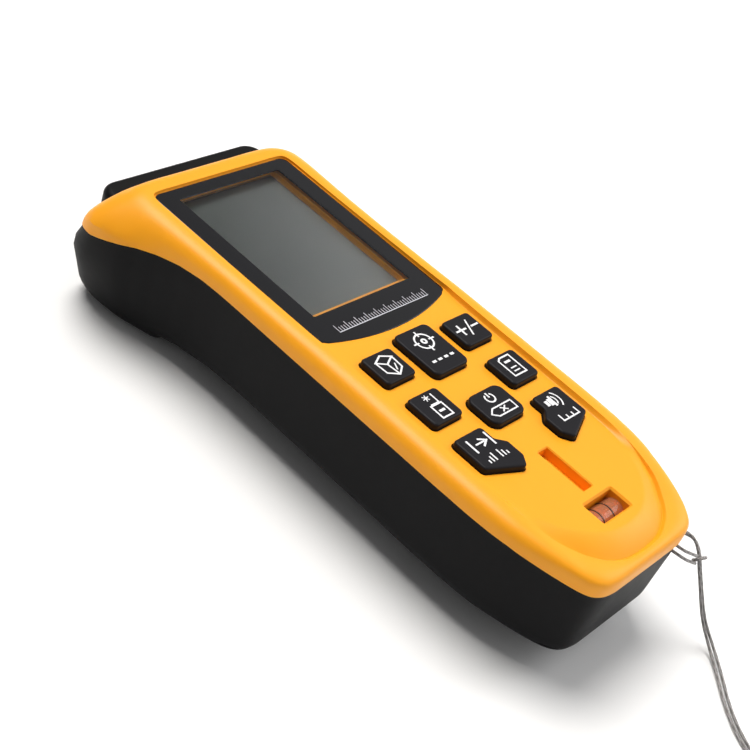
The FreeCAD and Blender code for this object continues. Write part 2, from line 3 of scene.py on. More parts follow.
import bmesh
import bpy
import numpy as np
from bpy.props import FloatProperty, FloatVectorProperty, IntProperty, PointerProperty
from bpy.types import Operator, Panel, PropertyGroup
from mathutils import Matrix, Vector


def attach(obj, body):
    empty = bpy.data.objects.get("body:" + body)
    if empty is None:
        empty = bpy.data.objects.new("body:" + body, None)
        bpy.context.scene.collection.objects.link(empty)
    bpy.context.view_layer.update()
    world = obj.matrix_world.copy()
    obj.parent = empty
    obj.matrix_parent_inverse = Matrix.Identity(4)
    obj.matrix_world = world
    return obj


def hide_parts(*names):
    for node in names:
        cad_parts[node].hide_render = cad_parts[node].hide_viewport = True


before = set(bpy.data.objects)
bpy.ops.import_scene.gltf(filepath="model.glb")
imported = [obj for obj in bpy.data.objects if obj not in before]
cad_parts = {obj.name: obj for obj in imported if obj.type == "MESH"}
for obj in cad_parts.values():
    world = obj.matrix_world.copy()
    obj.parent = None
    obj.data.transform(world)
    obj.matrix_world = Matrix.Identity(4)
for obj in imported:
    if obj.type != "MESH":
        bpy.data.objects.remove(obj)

bl_info = {
    "name": "Pocket distance meter",
    "version": (1, 0, 0),
    "blender": (4, 5, 0),
    "location": "3D View > Sidebar > Meter",
    "description": "Builds the visible pieces of a pocket laser distance meter",
    "category": "Add Mesh",
}

MM = 0.001
KEY_NODES = ("key_read", "key_clear", "key_plus_minus", "key_memory",
             "key_unit", "key_area", "key_reference", "key_max_min")

# ---------------------------------------------------------------- sizes and places, millimetres

# Heights above the surface that the meter stands on
FACE_HEIGHT = 24.6
KEY_TOP = 25.8
KEY_CUT_TOP = 26.0
WINDOW_TOP = 24.75
WINDOW_SEAT = 23.72
WINDOW_CUT_TOP = 30.0
SURROUND_TOP = 23.74
SURROUND_LOW = 22.55
DISPLAY_TOP = 22.6
DISPLAY_LOW = 21.9
NOSE_BLOCK_TOP = 20.95

# Half the width of the black block across the laser end, with its room
NOSE_BLOCK_HALF = 19.02

# Walls of the two covers, and the floor of the rear one
FRONT_WALL = 1.75
REAR_WALL = 2.3
REAR_FLOOR = 2.0

# Room round a key in its opening, and round the window in its seat
KEY_GAP = 0.2
WINDOW_GAP = 0.06

SCREW_PLACES = ((17.0, 30.0), (-17.0, 30.0), (16.4, -20.0), (-16.4, -20.0))

# Bubble level: its vial's axis y, z; its index rings' places along it, their radius and their thickness
VIAL_AXIS = (-46.5, 21.2)
VIAL_RINGS = (-1.75, 0.95)
VIAL_RING_RADIUS = 2.3
VIAL_RING_LINE = 0.11

# Share of a pictogram's drawn line width that is printed
PRINT_WEIGHT = 0.78

# Curve points between two stations of the outline, and points round the lanyard's hitch, knot, each turn of
# its coil, and a tube's section
STATION_STEPS = 10
HITCH_STEPS = 48
KNOT_STEPS = 72
COIL_STEPS = 14
SECTION_STEPS = 12

# Camera: place in metres, sideways and forward directions, focal length and frame shift
CAMERA_PLACE = (-0.17193, -0.09876, 0.16814)
CAMERA_RIGHT = (0.6613, -0.6919, 0.2897)
CAMERA_FORWARD = (0.6827, 0.3952, -0.6145)
CAMERA_LENS = 69.94
CAMERA_SHIFT = -0.0016

# Stations round the right half of the face, tail middle to head middle: body outline x, y; crest of the
# face's rim x, y, z; edge of the sunk face x, y.
FACE_STATIONS = np.array([
    (0.0, -56.9, 0.0, -55.3, 22.9, 0.0, -50.6),
    (5.75, -56.9, 4.6, -54.9, 22.95, 3.6, -50.2),
    (9.6, -56.8, 7.9, -53.6, 23.2, 6.4, -49.1),
    (12.1, -56.1, 10.0, -52.0, 23.45, 8.5, -47.7),
    (13.9, -54.4, 11.7, -50.0, 23.7, 10.1, -46.2),
    (15.6, -51.2, 13.6, -47.0, 24.2, 11.7, -44.2),
    (17.5, -46.6, 14.7, -43.4, 24.7, 13.0, -41.8),
    (19.0, -41.6, 15.4, -39.6, 25.1, 14.1, -38.7),
    (19.7, -36.0, 15.8, -35.3, 25.35, 14.9, -35.0),
    (20.0, -28.4, 15.95, -28.4, 25.45, 15.3, -28.4),
    (20.0, -18.0, 16.0, -18.0, 25.5, 15.45, -18.0),
    (20.0, -8.0, 16.05, -8.0, 25.5, 15.5, -8.0),
    (20.0, 0.5, 16.25, 0.5, 25.45, 15.8, 0.5),
    (20.0, 3.4, 16.4, 3.4, 25.4, 16.2, 3.4),
    (20.0, 8.0, 16.4, 8.0, 25.3, 16.2, 8.0),
    (20.0, 22.4, 16.4, 22.4, 25.15, 16.2, 22.4),
    (20.3, 32.0, 16.4, 32.0, 25.1, 16.2, 32.0),
    (20.5, 39.7, 16.4, 39.7, 25.1, 16.2, 39.7),
    (20.3, 44.5, 16.35, 44.3, 25.1, 16.15, 44.3),
    (19.35, 48.3, 15.7, 46.1, 25.1, 15.6, 45.9),
    (16.7, 50.6, 13.6, 46.5, 25.1, 13.6, 46.3),
    (12.5, 51.3, 10.2, 46.5, 25.1, 10.2, 46.3),
    (5.75, 51.3, 5.0, 46.5, 25.1, 5.0, 46.3),
    (0.0, 51.3, 0.0, 46.5, 25.1, 0.0, 46.3),
])
# Parting line of the two covers: y, z
PARTING = np.array([
    (-55.2, 19.8), (-51.3, 20.4), (-47.5, 21.0), (-41.8, 21.75), (-30.3, 21.95), (-6.3, 21.85), (17.6, 21.75),
    (27.2, 21.65), (32.0, 21.2), (36.3, 20.45), (40.6, 19.45), (44.5, 18.25), (47.8, 16.8), (52.1, 15.9),
    (60, 15.6),
])
# Height of the back: y, z
BACK = np.array([
    (-61, 4.3), (-53.3, 3.8), (-45.6, 4.1), (-34.1, 4.25), (-1.5, 4.2), (13.8, 3.95), (22.4, 3.5),
    (34.4, 1.85), (35.6, 0.5), (41.6, 0.06), (51.2, 0.06), (57.9, 0.7),
])
# Height of the front cover's inner ceiling: y, z
CEILING = np.array([(-60, 20.9), (-52, 21.6), (-44, 22.2), (-38, 22.6)])
# Outward flare of the laser end's two lobes: y, width
FLARE = np.array([
    (22.4, 0), (27.2, 0.2), (32.0, 0.65), (36.8, 1.5), (40.6, 2.6), (44.5, 4.3), (47.8, 5.85), (50.2, 6.6),
])

# Key outlines, (x, y) corners
KEY_CORNERS = {
    "key_read": [(-4.3, -12.7), (4.3, -12.7), (4.3, -1.9), (-4.3, -1.9)],
    "key_clear": [(-4.2, -25.8), (4.2, -25.8), (4.2, -18.6), (-4.2, -18.6)],
    "key_plus_minus": [(6.7, -10.2), (13.8, -10.2), (13.8, -3.4), (6.7, -3.4)],
    "key_memory": [(6.7, -20.8), (13.8, -20.8), (13.8, -14.0), (6.7, -14.0)],
    "key_unit": [(5.1, -32.4), (6.6, -34.4), (13.8, -31.3), (13.8, -24.3), (6.8, -24.3), (6.8, -27.3),
                 (5.1, -28.9)],
}
for _left, _right in (("key_area", "key_plus_minus"), ("key_reference", "key_memory"),
                      ("key_max_min", "key_unit")):
    KEY_CORNERS[_left] = [(-x, y) for x, y in KEY_CORNERS[_right][::-1]]
# Corner radius of the small keys, and of the two that differ
SMALL_KEY_CORNER = 0.85
KEY_CORNER = {"key_read": 1.3, "key_clear": 1.7}

# Wrist lanyard: given points of its two strands, from the hitch through the corner tunnel to the coil
STRAND_A = [(14.9, -59.2, 16.1), (12.9, -58.6, 17.3), (10.4, -57.7, 18.8), (10.1, -54.6, 18.85),
            (12.6, -54.3, 18.8), (14.9, -55.2, 18.5), (16.1, -57.0, 17.7), (16.0, -58.7, 16.3),
            (15.5, -60.2, 14.2), (15.6, -61.9, 11.4), (16.3, -65.2, 5.2), (17.1, -68.4, 1.1),
            (13.8, -72.6, 0.42), (9.3, -77.1, 0.45), (5.5, -82.4, 0.42), (3.6, -88.0, 0.45),
            (2.9, -92.4, 0.7)]
STRAND_B = [(14.6, -59.6, 14.9), (12.3, -59.0, 16.2), (9.9, -57.8, 17.85), (9.3, -54.1, 17.95),
            (12.2, -53.9, 17.9), (15.4, -54.9, 17.6), (16.9, -56.9, 17.05), (16.7, -58.75, 15.75),
            (16.25, -60.3, 13.65), (16.45, -62.0, 10.75), (17.15, -65.3, 4.9), (18.2, -68.6, 0.9),
            (14.5, -73.2, 0.45), (9.95, -77.7, 0.42), (6.3, -82.8, 0.45), (4.45, -88.2, 0.42),
            (3.75, -92.6, 0.7)]
# The coil that takes up the rest: centre x, y; turns; height of its first turn and rise of each
COIL_CENTRE = (-1.2, -94.6)
COIL_TURNS = 4.5
COIL_LOW = 0.75
COIL_RISE = 0.62


# ---------------------------------------------------------------- settings

class MeterSizes(PropertyGroup):
    """Sizes that a user may change"""
    edge_drop: FloatProperty(name="Edge drop", description="Height of the rounded edge round the face",
                             default=3.4 * MM, unit="LENGTH", precision=5)
    back_round: FloatProperty(name="Back rounding", description="Radius of the rounded edge round the back",
                              default=4.3 * MM, unit="LENGTH", precision=5)
    key_round: FloatProperty(name="Key edge", description="Radius of each key's soft top edge",
                             default=0.42 * MM, unit="LENGTH", precision=5)
    strand_radius: FloatProperty(name="Lanyard radius", description="Radius of one lanyard strand",
                                 default=0.27 * MM, unit="LENGTH", precision=5)
    print_thickness: FloatProperty(name="Print thickness", description="Thickness of the printed marks",
                                   default=0.02 * MM, unit="LENGTH", precision=5)
    scale_marks: IntProperty(name="Scale marks", description="Number of ticks on the printed scale",
                             default=37)


class MeterColours(PropertyGroup):
    """Colours that a user may change"""
    cover: FloatVectorProperty(name="Front cover", description="Colour of the front cover", subtype="COLOR",
                               size=3, default=(0.95, 0.375, 0.012))
    housing: FloatVectorProperty(name="Housing", description="Colour of the rear cover", subtype="COLOR",
                                 size=3, default=(0.0045, 0.0045, 0.005))
    key: FloatVectorProperty(name="Keys", description="Colour of the keys", subtype="COLOR",
                             size=3, default=(0.016, 0.0155, 0.018))
    cord: FloatVectorProperty(name="Lanyard", description="Colour of the lanyard's thread", subtype="COLOR",
                              size=3, default=(0.27, 0.255, 0.25))
    stage: FloatVectorProperty(name="Stage", description="Colour of the floor", subtype="COLOR",
                               size=3, default=(0.92, 0.92, 0.92))


# ---------------------------------------------------------------- mesh helpers

def ease(t):
    """Smooth step: 3t^2 - 2t^3 with t held between 0 and 1."""
    t = np.clip(t, 0.0, 1.0)
    return t * t * (3 - 2 * t)


def smooth_loop(points, per_span):
    """Closed Catmull-Rom curve: each span is the cubic through its ends with central-difference tangents."""
    p = np.asarray(points, float)
    before, after, beyond = np.roll(p, 1, 0), np.roll(p, -1, 0), np.roll(p, -2, 0)
    t = (np.arange(per_span) / per_span)[None, :, None]
    a, b, c, d = before[:, None], p[:, None], after[:, None], beyond[:, None]
    squared, cubed = 2 * a - 5 * b + 4 * c - d, 3 * b - a - 3 * c + d
    curve = 0.5 * (2 * b + (c - a) * t + squared * t ** 2 + cubed * t ** 3)
    return curve.reshape(-1, p.shape[1])


def read_off(table, y):
    """Value of a table of (y, value) rows at each y, in straight lines between the rows."""
    return np.interp(y, table[:, 0], table[:, 1])


def outward(outline):
    """Outward unit normals of a closed outline: its tangent turned a quarter, away from the middle."""
    tangent = np.roll(outline, -1, 0) - np.roll(outline, 1, 0)
    normal = np.stack([tangent[:, 1], -tangent[:, 0]], 1)
    normal /= np.linalg.norm(normal, axis=1, keepdims=True) + 1e-12
    x, y = outline[:, 0], outline[:, 1]
    area = 0.5 * np.sum(x * np.roll(y, -1) - y * np.roll(x, -1))
    return normal if area > 0 else -normal


def rounded(corners, radius, steps=6):
    """Closed outline with every corner replaced by a tangent arc of one radius."""
    p = np.asarray(corners, float)
    before = np.roll(p, 1, 0) - p
    after = np.roll(p, -1, 0) - p
    before /= np.linalg.norm(before, axis=1, keepdims=True)
    after /= np.linalg.norm(after, axis=1, keepdims=True)
    half = np.arccos(np.clip(np.sum(before * after, 1), -1, 1)) / 2
    middle = before + after
    middle /= np.linalg.norm(middle, axis=1, keepdims=True)
    centre = p + middle * (radius / np.sin(half))[:, None]
    start = p + before * (radius / np.tan(half))[:, None] - centre
    end = p + after * (radius / np.tan(half))[:, None] - centre
    sweep = np.arctan2(start[:, 0] * end[:, 1] - start[:, 1] * end[:, 0], np.sum(start * end, 1))
    angle = sweep[:, None] * np.linspace(0, 1, steps + 1)[None]
    x = centre[:, :1] + start[:, :1] * np.cos(angle) - start[:, 1:] * np.sin(angle)
    y = centre[:, 1:] + start[:, :1] * np.sin(angle) + start[:, 1:] * np.cos(angle)
    return np.stack([x, y], 2).reshape(-1, 2)


def loft(rows, cap_first=True, cap_last=True):
    """Points and faces of a closed band through rows of equal length, with flat many-sided caps."""
    rows = np.asarray(rows, float)
    count, around = rows.shape[:2]
    index = np.arange(count * around).reshape(count, around)
    a, b = index[:-1], index[1:]
    quads = np.stack([a, np.roll(a, -1, 1), np.roll(b, -1, 1), b], 2).reshape(-1, 4)
    faces = quads.tolist()
    if cap_first:
        faces.append(index[0][::-1].tolist())
    if cap_last:
        faces.append(index[-1].tolist())
    return rows.reshape(-1, 3), faces


def joined(parts):
    """Several (points, faces) pairs as one."""
    points, faces, base = [], [], 0
    for p, f in parts:
        points.append(p)
        faces.extend([[i + base for i in face] for face in f])
        base += len(p)
    return np.vstack(points), faces


def piece(name, points, faces, material=None, sharp=35.0):
    """Mesh object from points in millimetres, faces turned outwards, smooth but for edges above an angle."""
    mesh = bpy.data.meshes.new(name)
    mesh.from_pydata((np.asarray(points) * MM).tolist(), [], faces)
    mesh.update()
    facing_out(mesh)
    obj = bpy.data.objects.new(name, mesh)
    bpy.context.scene.collection.objects.link(obj)
    soften(mesh, sharp)
    if material:
        mesh.materials.append(material)
    return obj


def facing_out(mesh):
    """Turn every face of a closed mesh outwards."""
    bm = bmesh.new()
    bm.from_mesh(mesh)
    bmesh.ops.recalc_face_normals(bm, faces=bm.faces)
    bm.to_mesh(mesh)
    bm.free()


def soften(mesh, sharp):
    """Smooth shading with sharp edges above an angle in degrees."""
    mesh.polygons.foreach_set("use_smooth", np.ones(len(mesh.polygons), bool))
    mesh.set_sharp_from_angle(angle=math.radians(sharp))
    mesh.update()


def carve(obj, parts, operation="DIFFERENCE", sharp=35.0):
    """Cut closed shapes out of a piece, or keep only what is inside them."""
    for number, part in enumerate(parts):
        tool = piece(obj.name + "_tool", *part)
        cut = obj.modifiers.new("cut", "BOOLEAN")
        cut.operation = operation
        cut.solver = "EXACT"
        cut.object = tool
        depsgraph = bpy.context.evaluated_depsgraph_get()
        result = bpy.data.meshes.new_from_object(obj.evaluated_get(depsgraph))
        obj.modifiers.remove(cut)
        old = obj.data
        obj.data = result
        bpy.data.meshes.remove(old)
        bpy.data.objects.remove(tool)
        result.name = obj.name
        if not len(result.polygons):
            raise RuntimeError(f"{obj.name}: cut {number} left nothing")
    soften(obj.data, sharp)
    return obj


def block(x, y, z):
    """Closed box from three (low, high) pairs."""
    return prism([(x[0], y[0]), (x[1], y[0]), (x[1], y[1]), (x[0], y[1])], *z)


def at_height(outline, height):
    """Rows of an outline with one height added to each."""
    return np.column_stack([outline, np.full(len(outline), height)])


def grown(outline, amount):
    """Outline moved outwards along its normals."""
    return outline + outward(outline) * amount


def rounded_box(half, low, high, radius, steps):
    """Outline of a rectangle centred on the meter's middle line, with rounded corners."""
    return rounded([(-half, low), (half, low), (half, high), (-half, high)], radius, steps)


def prism(outline, low, high):
    """Closed upright prism of an outline between two heights."""
    return loft([at_height(outline, low), at_height(outline, high)])


def flared_prism(outline, low, high, lip):
    """Prism whose mouth widens at 45 degrees over its last stretch and on past its top."""
    past = 0.3
    return loft([at_height(outline, low), at_height(outline, high - lip),
                 at_height(grown(outline, lip + past), high + past)])


def closed_band(rows):
    """Points and faces of a band through rows of equal length, whose last row joins its first."""
    points, faces = loft(rows, False, False)
    first = np.arange(len(rows[0]))
    last = first + len(points) - len(first)
    faces += np.stack([last, np.roll(last, -1), np.roll(first, -1), first], 1).tolist()
    return points, faces


def tube(path, radius, around=SECTION_STEPS, closed=False):
    """Tube along a path: at each point a circle across the tangent, its frame carried without twist."""
    p = np.asarray(path, float)
    tangent = (np.roll(p, -1, 0) - np.roll(p, 1, 0)) if closed else np.gradient(p, axis=0)
    tangent /= np.linalg.norm(tangent, axis=1, keepdims=True)
    side = np.cross(tangent, (0.31, 0.17, 0.93))
    side /= np.linalg.norm(side, axis=1, keepdims=True)
    up = np.cross(tangent, side)
    angle = np.linspace(0, 2 * math.pi, around, endpoint=False)
    ring_points = np.cos(angle)[None, :, None] * side[:, None] + np.sin(angle)[None, :, None] * up[:, None]
    wide = np.broadcast_to(np.asarray(radius, float), (len(p),))[:, None, None]
    rows = p[:, None] + ring_points * wide
    return closed_band(rows) if closed else loft(rows)


# ---------------------------------------------------------------- the body's form

# Share of the slope's run at which the rim's small lip starts, and power of the rounded edge's two terms
LIP_START = 0.88
EDGE_POWER = 0.74


def mirrored_stations():
    """The right half's stations followed by their mirror image, as one closed loop."""
    right = at_height(FACE_STATIONS, FACE_HEIGHT)
    left = right[-2:0:-1].copy()
    left[:, (0, 2, 5)] *= -1
    return smooth_loop(np.vstack([right, left]), STATION_STEPS)


def spread(plan, z):
    """Place plan points at a height, with the laser end's two lobes and nose swelling out below the face.

    Sideways, the flare at that y grows by a smooth step below 25.5 and loses a third again below 13.
    Forwards, the nose reaches 2.9 in a straight run and 2.8 more by a smooth step further down."""
    x, y = plan[:, 0].copy(), plan[:, 1].copy()
    swell = read_off(FLARE, y)
    swell *= ease((25.5 - z) / 6.6) * (1 - 0.36 * ease((13.0 - z) / 11.5))
    reach = ease((y - 43.5) / 7.7) * (2.9 * np.clip((23.6 - z) / 5.8, 0, 1) + 2.8 * ease((17.8 - z) / 7.7))
    return np.column_stack([x + np.sign(x) * np.clip(np.abs(x) / 15.3, 0, 1) * swell, y + reach, z])


def cover_rows(sizes):
    """Rows of the front cover from the sunk face's edge over the rim's crest and down to the parting line.

    The slope rises as a power of the way across, with a small smooth-step lip at its end. The rounded edge
    is a quarter super-ellipse between the crest and the outline, both of whose terms are raised to 0.74."""
    s = mirrored_stations()
    outline, crest, deck = s[:, 0:2], s[:, 2:5], s[:, 5:8]
    parting = read_off(PARTING, outline[:, 1])
    run = np.linalg.norm(crest[:, :2] - deck[:, :2], axis=1)
    rows = [np.column_stack([grown(deck[:, :2], -0.35), deck[:, 2]])]
    lip = 0.55 * ease((run - 0.8) / 2.4)
    for t in (0.0, 0.06, 0.13, 0.22, 0.32, 0.42, 0.52, 0.62, 0.72, 0.81, 0.88, 0.91, 0.94, 0.97, 1.0):
        fall = min(1.0, t / LIP_START) ** 1.45
        rise = ease((t - LIP_START) / (1 - LIP_START))
        z = deck[:, 2] + (crest[:, 2] - lip - deck[:, 2]) * fall + lip * rise
        plan = deck[:, :2] + (crest[:, :2] - deck[:, :2]) * t
        rows.append(spread(plan, z))
    tail_drop = 1.9 + (sizes.edge_drop / MM - 1.9) * ease((outline[:, 1] + 54) / 14)
    drop = np.minimum(tail_drop, crest[:, 2] - parting - 0.35)
    for angle in np.radians([3, 7, 12, 18, 25, 33, 41, 49, 57, 65, 73, 81, 90]):
        plan = crest[:, :2] + (outline - crest[:, :2]) * math.sin(angle) ** EDGE_POWER
        rows.append(spread(plan, crest[:, 2] - drop * (1 - math.cos(angle) ** EDGE_POWER)))
    for t in (0.25, 0.5, 0.75, 0.97):
        rows.append(spread(outline, crest[:, 2] - drop + (parting - crest[:, 2] + drop) * t))
    rows.append(spread(grown(outline, -0.12), parting))
    return np.array(rows), outline, parting


def rear_rows(sizes):
    """Rows of the rear cover from the parting line down its slightly drawn-in side and round the back."""
    s = mirrored_stations()
    outline = s[:, 0:2]
    y = outline[:, 1]
    parting = read_off(PARTING, y)
    back = read_off(BACK, y)
    bend = sizes.back_round / MM - 0.9 * ease((-42 - y) / 12)
    normal = outward(outline)
    rows = [spread(outline - normal * 0.3, parting), spread(outline - normal * 0.2, parting - 0.12)]
    for t in (0.12, 0.3, 0.5, 0.75, 1.0):
        z = parting + (back + bend - parting) * t
        rows.append(spread(outline - normal * (0.2 + 0.05 * (parting - z))[:, None], z))
    inset = 0.2 + 0.05 * (parting - back - bend)
    for angle in np.radians(np.linspace(10, 90, 9)):
        z = back + bend * (1 - math.sin(angle))
        rows.append(spread(outline - normal * (inset + bend * (1 - math.cos(angle)))[:, None], z))
    last = rows[-1]
    for keep in (0.8, 0.5, 0.2):
        flat = last.copy()
        flat[:, 0] *= keep
        rows.append(flat)
    return np.array(rows)


def lens_outline(grow):
    """Display window's outline: straight sides, rounded upper corners, an arc for its lower edge."""
    half, top, side, dip = 16.1 + grow, 46.2 + grow, 3.3 - grow, 0.2 - grow
    rise = side - dip
    radius = (half ** 2 + rise ** 2) / (2 * rise)
    reach = math.asin(half / radius)
    angle = np.linspace(-reach, reach, 41)[1:-1]
    arc = np.column_stack([radius * np.sin(angle), dip + radius - radius * np.cos(angle)])
    upper = rounded([(half, side), (half, top), (-half, top), (-half, side)], 1.6)
    corner = len(upper) // 4
    right = np.array([(half, side + 0.9), (half - 0.25, side + 0.25), (half - 0.9, side - 0.12)])
    left = right[::-1] * (-1, 1)
    return np.vstack([arc[1:-1], right[::-1], upper[corner:3 * corner], left[::-1]])


# ---------------------------------------------------------------- materials

def fed(tree, kind, inputs, **settings):
    """New node with its settings, whose inputs are set to values or linked to other nodes' outputs."""
    node = tree.nodes.new(kind)
    for name, value in settings.items():
        setattr(node, name, value)
    for label, value in inputs.items():
        if isinstance(value, bpy.types.NodeSocket):
            tree.links.new(value, node.inputs[label])
        else:
            node.inputs[label].default_value = value
    return node


def node_group(name, inputs, outputs):
    """Empty shader node group with named number inputs and outputs."""
    group = bpy.data.node_groups.new(name, "ShaderNodeTree")
    for label, kind, default in inputs:
        socket = group.interface.new_socket(name=label, in_out="INPUT", socket_type=kind)
        if default is not None:
            socket.default_value = default
    for label, kind in outputs:
        group.interface.new_socket(name=label, in_out="OUTPUT", socket_type=kind)
    return group, group.nodes.new("NodeGroupInput"), group.nodes.new("NodeGroupOutput")


def grain_group():
    """Moulded texture: fine spark-eroded grain, slow tone drift and faint handling marks."""
    name = "Moulded grain"
    if name in bpy.data.node_groups:
        return bpy.data.node_groups[name]
    group, given, out = node_group(
        name,
        [("Vector", "NodeSocketVector", None), ("Grain size", "NodeSocketFloat", 5000.0),
         ("Tone", "NodeSocketFloat", 0.04), ("Base", "NodeSocketColor", None),
         ("Roughness", "NodeSocketFloat", 0.45), ("Roughness spread", "NodeSocketFloat", 0.08)],
        [("Color", "NodeSocketColor"), ("Roughness", "NodeSocketFloat"), ("Height", "NodeSocketFloat")])
    at, links = given.outputs["Vector"], group.links
    fine = fed(group, "ShaderNodeTexNoise", {"Vector": at, "Scale": given.outputs["Grain size"],
                                             "Detail": 2.0})
    slow = fed(group, "ShaderNodeTexNoise", {"Vector": at, "Scale": 90.0, "Detail": 4.0})
    marks = fed(group, "ShaderNodeTexNoise", {"Vector": at, "Scale": 420.0, "Detail": 5.0, "Distortion": 1.5})
    drift = fed(group, "ShaderNodeMath", {0: slow.outputs["Fac"], 1: 0.5}, operation="SUBTRACT")
    amount = fed(group, "ShaderNodeMath", {0: drift.outputs[0], 1: given.outputs["Tone"], 2: 1.0},
                 operation="MULTIPLY_ADD")
    tint = fed(group, "ShaderNodeVectorMath", {0: given.outputs["Base"], "Scale": amount.outputs[0]},
               operation="SCALE")
    rub = fed(group, "ShaderNodeMath", {0: marks.outputs["Fac"], 1: 0.5}, operation="SUBTRACT")
    rough = fed(group, "ShaderNodeMath", {0: rub.outputs[0], 1: given.outputs["Roughness spread"],
                                          2: given.outputs["Roughness"]}, operation="MULTIPLY_ADD")
    links.new(tint.outputs["Vector"], out.inputs["Color"])
    links.new(rough.outputs[0], out.inputs["Roughness"])
    links.new(fine.outputs["Fac"], out.inputs["Height"])
    return group


def finish(name, colour, rough=0.45, metal=0.0, grain=5000.0, depth=0.2, tone=0.06, spread_of_rough=0.08,
           coat=0.0, specular=0.5, transmission=0.0, ior=1.5, distance=0.02):
    """Principled material whose colour, roughness and bump come from the moulded grain."""
    name += "_finish"
    if name in bpy.data.materials:
        return bpy.data.materials[name]
    material = bpy.data.materials.new(name)
    material.use_nodes = True
    tree = material.node_tree
    shader = tree.nodes["Principled BSDF"]
    place = fed(tree, "ShaderNodeTexCoord", {})
    group = fed(tree, "ShaderNodeGroup", {
        "Vector": place.outputs["Object"], "Grain size": grain, "Tone": tone, "Base": (*colour[:3], 1.0),
        "Roughness": rough, "Roughness spread": spread_of_rough}, node_tree=grain_group())
    bump = fed(tree, "ShaderNodeBump", {"Strength": depth, "Distance": distance * MM,
                                        "Height": group.outputs["Height"]})
    tree.links.new(group.outputs["Color"], shader.inputs["Base Color"])
    tree.links.new(group.outputs["Roughness"], shader.inputs["Roughness"])
    tree.links.new(bump.outputs["Normal"], shader.inputs["Normal"])
    for label, value in {"Metallic": metal, "Coat Weight": coat, "Coat Roughness": 0.06,
                         "Specular IOR Level": specular, "Transmission Weight": transmission,
                         "IOR": ior}.items():
        shader.inputs[label].default_value = value
    return material


def cover_finish(colours):
    """Satin moulded plastic of the front cover, with a little light carried through its edges."""
    material = finish("cover_plastic", colours.cover, rough=0.4, grain=3800.0, depth=0.12, tone=0.03,
                      specular=0.3)
    shader = material.node_tree.nodes["Principled BSDF"]
    shader.inputs["Subsurface Weight"].default_value = 0.06
    shader.inputs["Subsurface Radius"].default_value = (1.0, 0.45, 0.1)
    shader.inputs["Subsurface Scale"].default_value = 1.2 * MM
    return material


def housing_finish(colours):
    """Black moulded plastic of the rear cover with a fine matte grain."""
    return finish("housing_plastic", colours.housing, rough=0.5, grain=3200.0, depth=0.35, tone=0.12,
                  specular=0.09, distance=0.03)


def key_finish(colours):
    """Soft-touch rubber of the keys."""
    return finish("key_rubber", colours.key, rough=0.36, grain=4200.0, depth=0.2, tone=0.1, specular=0.08)


def print_finish():
    """White screen print, thinning slightly with wear."""
    return finish("white_print", (0.82, 0.82, 0.84), rough=0.5, grain=7000.0, depth=0.1, tone=0.18)


def weave_finish(name, colour, turns):
    """Braided thread: crossing diagonal ridges along the cord, from its own UV map, with painted shade in the
    grooves and a painted highlight on the crowns.
    """
    material = finish(name, colour, rough=0.85, grain=9000.0, depth=0.1, tone=0.25)
    tree = material.node_tree
    uv = fed(tree, "ShaderNodeUVMap", {})
    ridges = []
    for way in (1.0, -1.0):
        turn = fed(tree, "ShaderNodeMapping", {"Vector": uv.outputs["UV"], "Scale": (turns, 3.0 * way, 1.0)})
        split = fed(tree, "ShaderNodeSeparateXYZ", {0: turn.outputs["Vector"]})
        both = fed(tree, "ShaderNodeMath", {0: split.outputs["X"], 1: split.outputs["Y"]}, operation="ADD")
        ridges.append(fed(tree, "ShaderNodeMath", {0: both.outputs[0], 1: 0.5}, operation="PINGPONG"))
    over = fed(tree, "ShaderNodeMath", {0: ridges[0].outputs[0], 1: ridges[1].outputs[0]},
               operation="MAXIMUM")
    bump = fed(tree, "ShaderNodeBump", {"Strength": 0.8, "Distance": 0.12 * MM, "Height": over.outputs[0]})
    stretch = fed(tree, "ShaderNodeMapRange", {"Value": over.outputs[0], "From Min": 0.2, "From Max": 0.5})
    # Painted shade and highlight: the grooves get 0.55 of the thread colour and the crowns 1.35 of it
    groove, crown = [(*(c * tone for c in colour), 1.0) for tone in (0.55, 1.35)]
    between(material, stretch.outputs["Result"], groove, crown)
    shader = tree.nodes["Principled BSDF"]
    tree.links.new(bump.outputs["Normal"], shader.inputs["Normal"])
    shader.inputs["Sheen Weight"].default_value = 0.3
    return material


def between(material, share, low, high):
    """Base colour mixed between two colours by a share."""
    tree = material.node_tree
    mixed = fed(tree, "ShaderNodeMix", {"A": low, "B": high, "Factor": share}, data_type="RGBA")
    tree.links.new(mixed.outputs["Result"], tree.nodes["Principled BSDF"].inputs["Base Color"])


def board_finish():
    """Circuit board: solder mask over a network of copper tracks."""
    mask = (0.012, 0.10, 0.035)
    material = finish("board_mask", mask, rough=0.35, grain=2500.0, depth=0.1, coat=0.3)
    tree = material.node_tree
    place = tree.nodes["Texture Coordinate"]
    tracks = fed(tree, "ShaderNodeTexVoronoi", {"Vector": place.outputs["Object"], "Scale": 380.0},
                 feature="DISTANCE_TO_EDGE")
    edge = fed(tree, "ShaderNodeMapRange", {"Value": tracks.outputs["Distance"], "From Min": 0.03,
                                            "From Max": 0.06})
    between(material, edge.outputs["Result"], (0.03, 0.22, 0.07, 1.0), (*mask, 1.0))
    return material


# ---------------------------------------------------------------- pieces

def settings():
    """The two setting groups of the scene."""
    return bpy.context.scene.meter_sizes, bpy.context.scene.meter_colours


def owned(obj, body, slot, *nodes):
    """Tie a piece to its body and hide the CAD nodes that it stands for; the slot argument is not used."""
    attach(obj, body)
    if nodes:
        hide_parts(*nodes)
    return obj


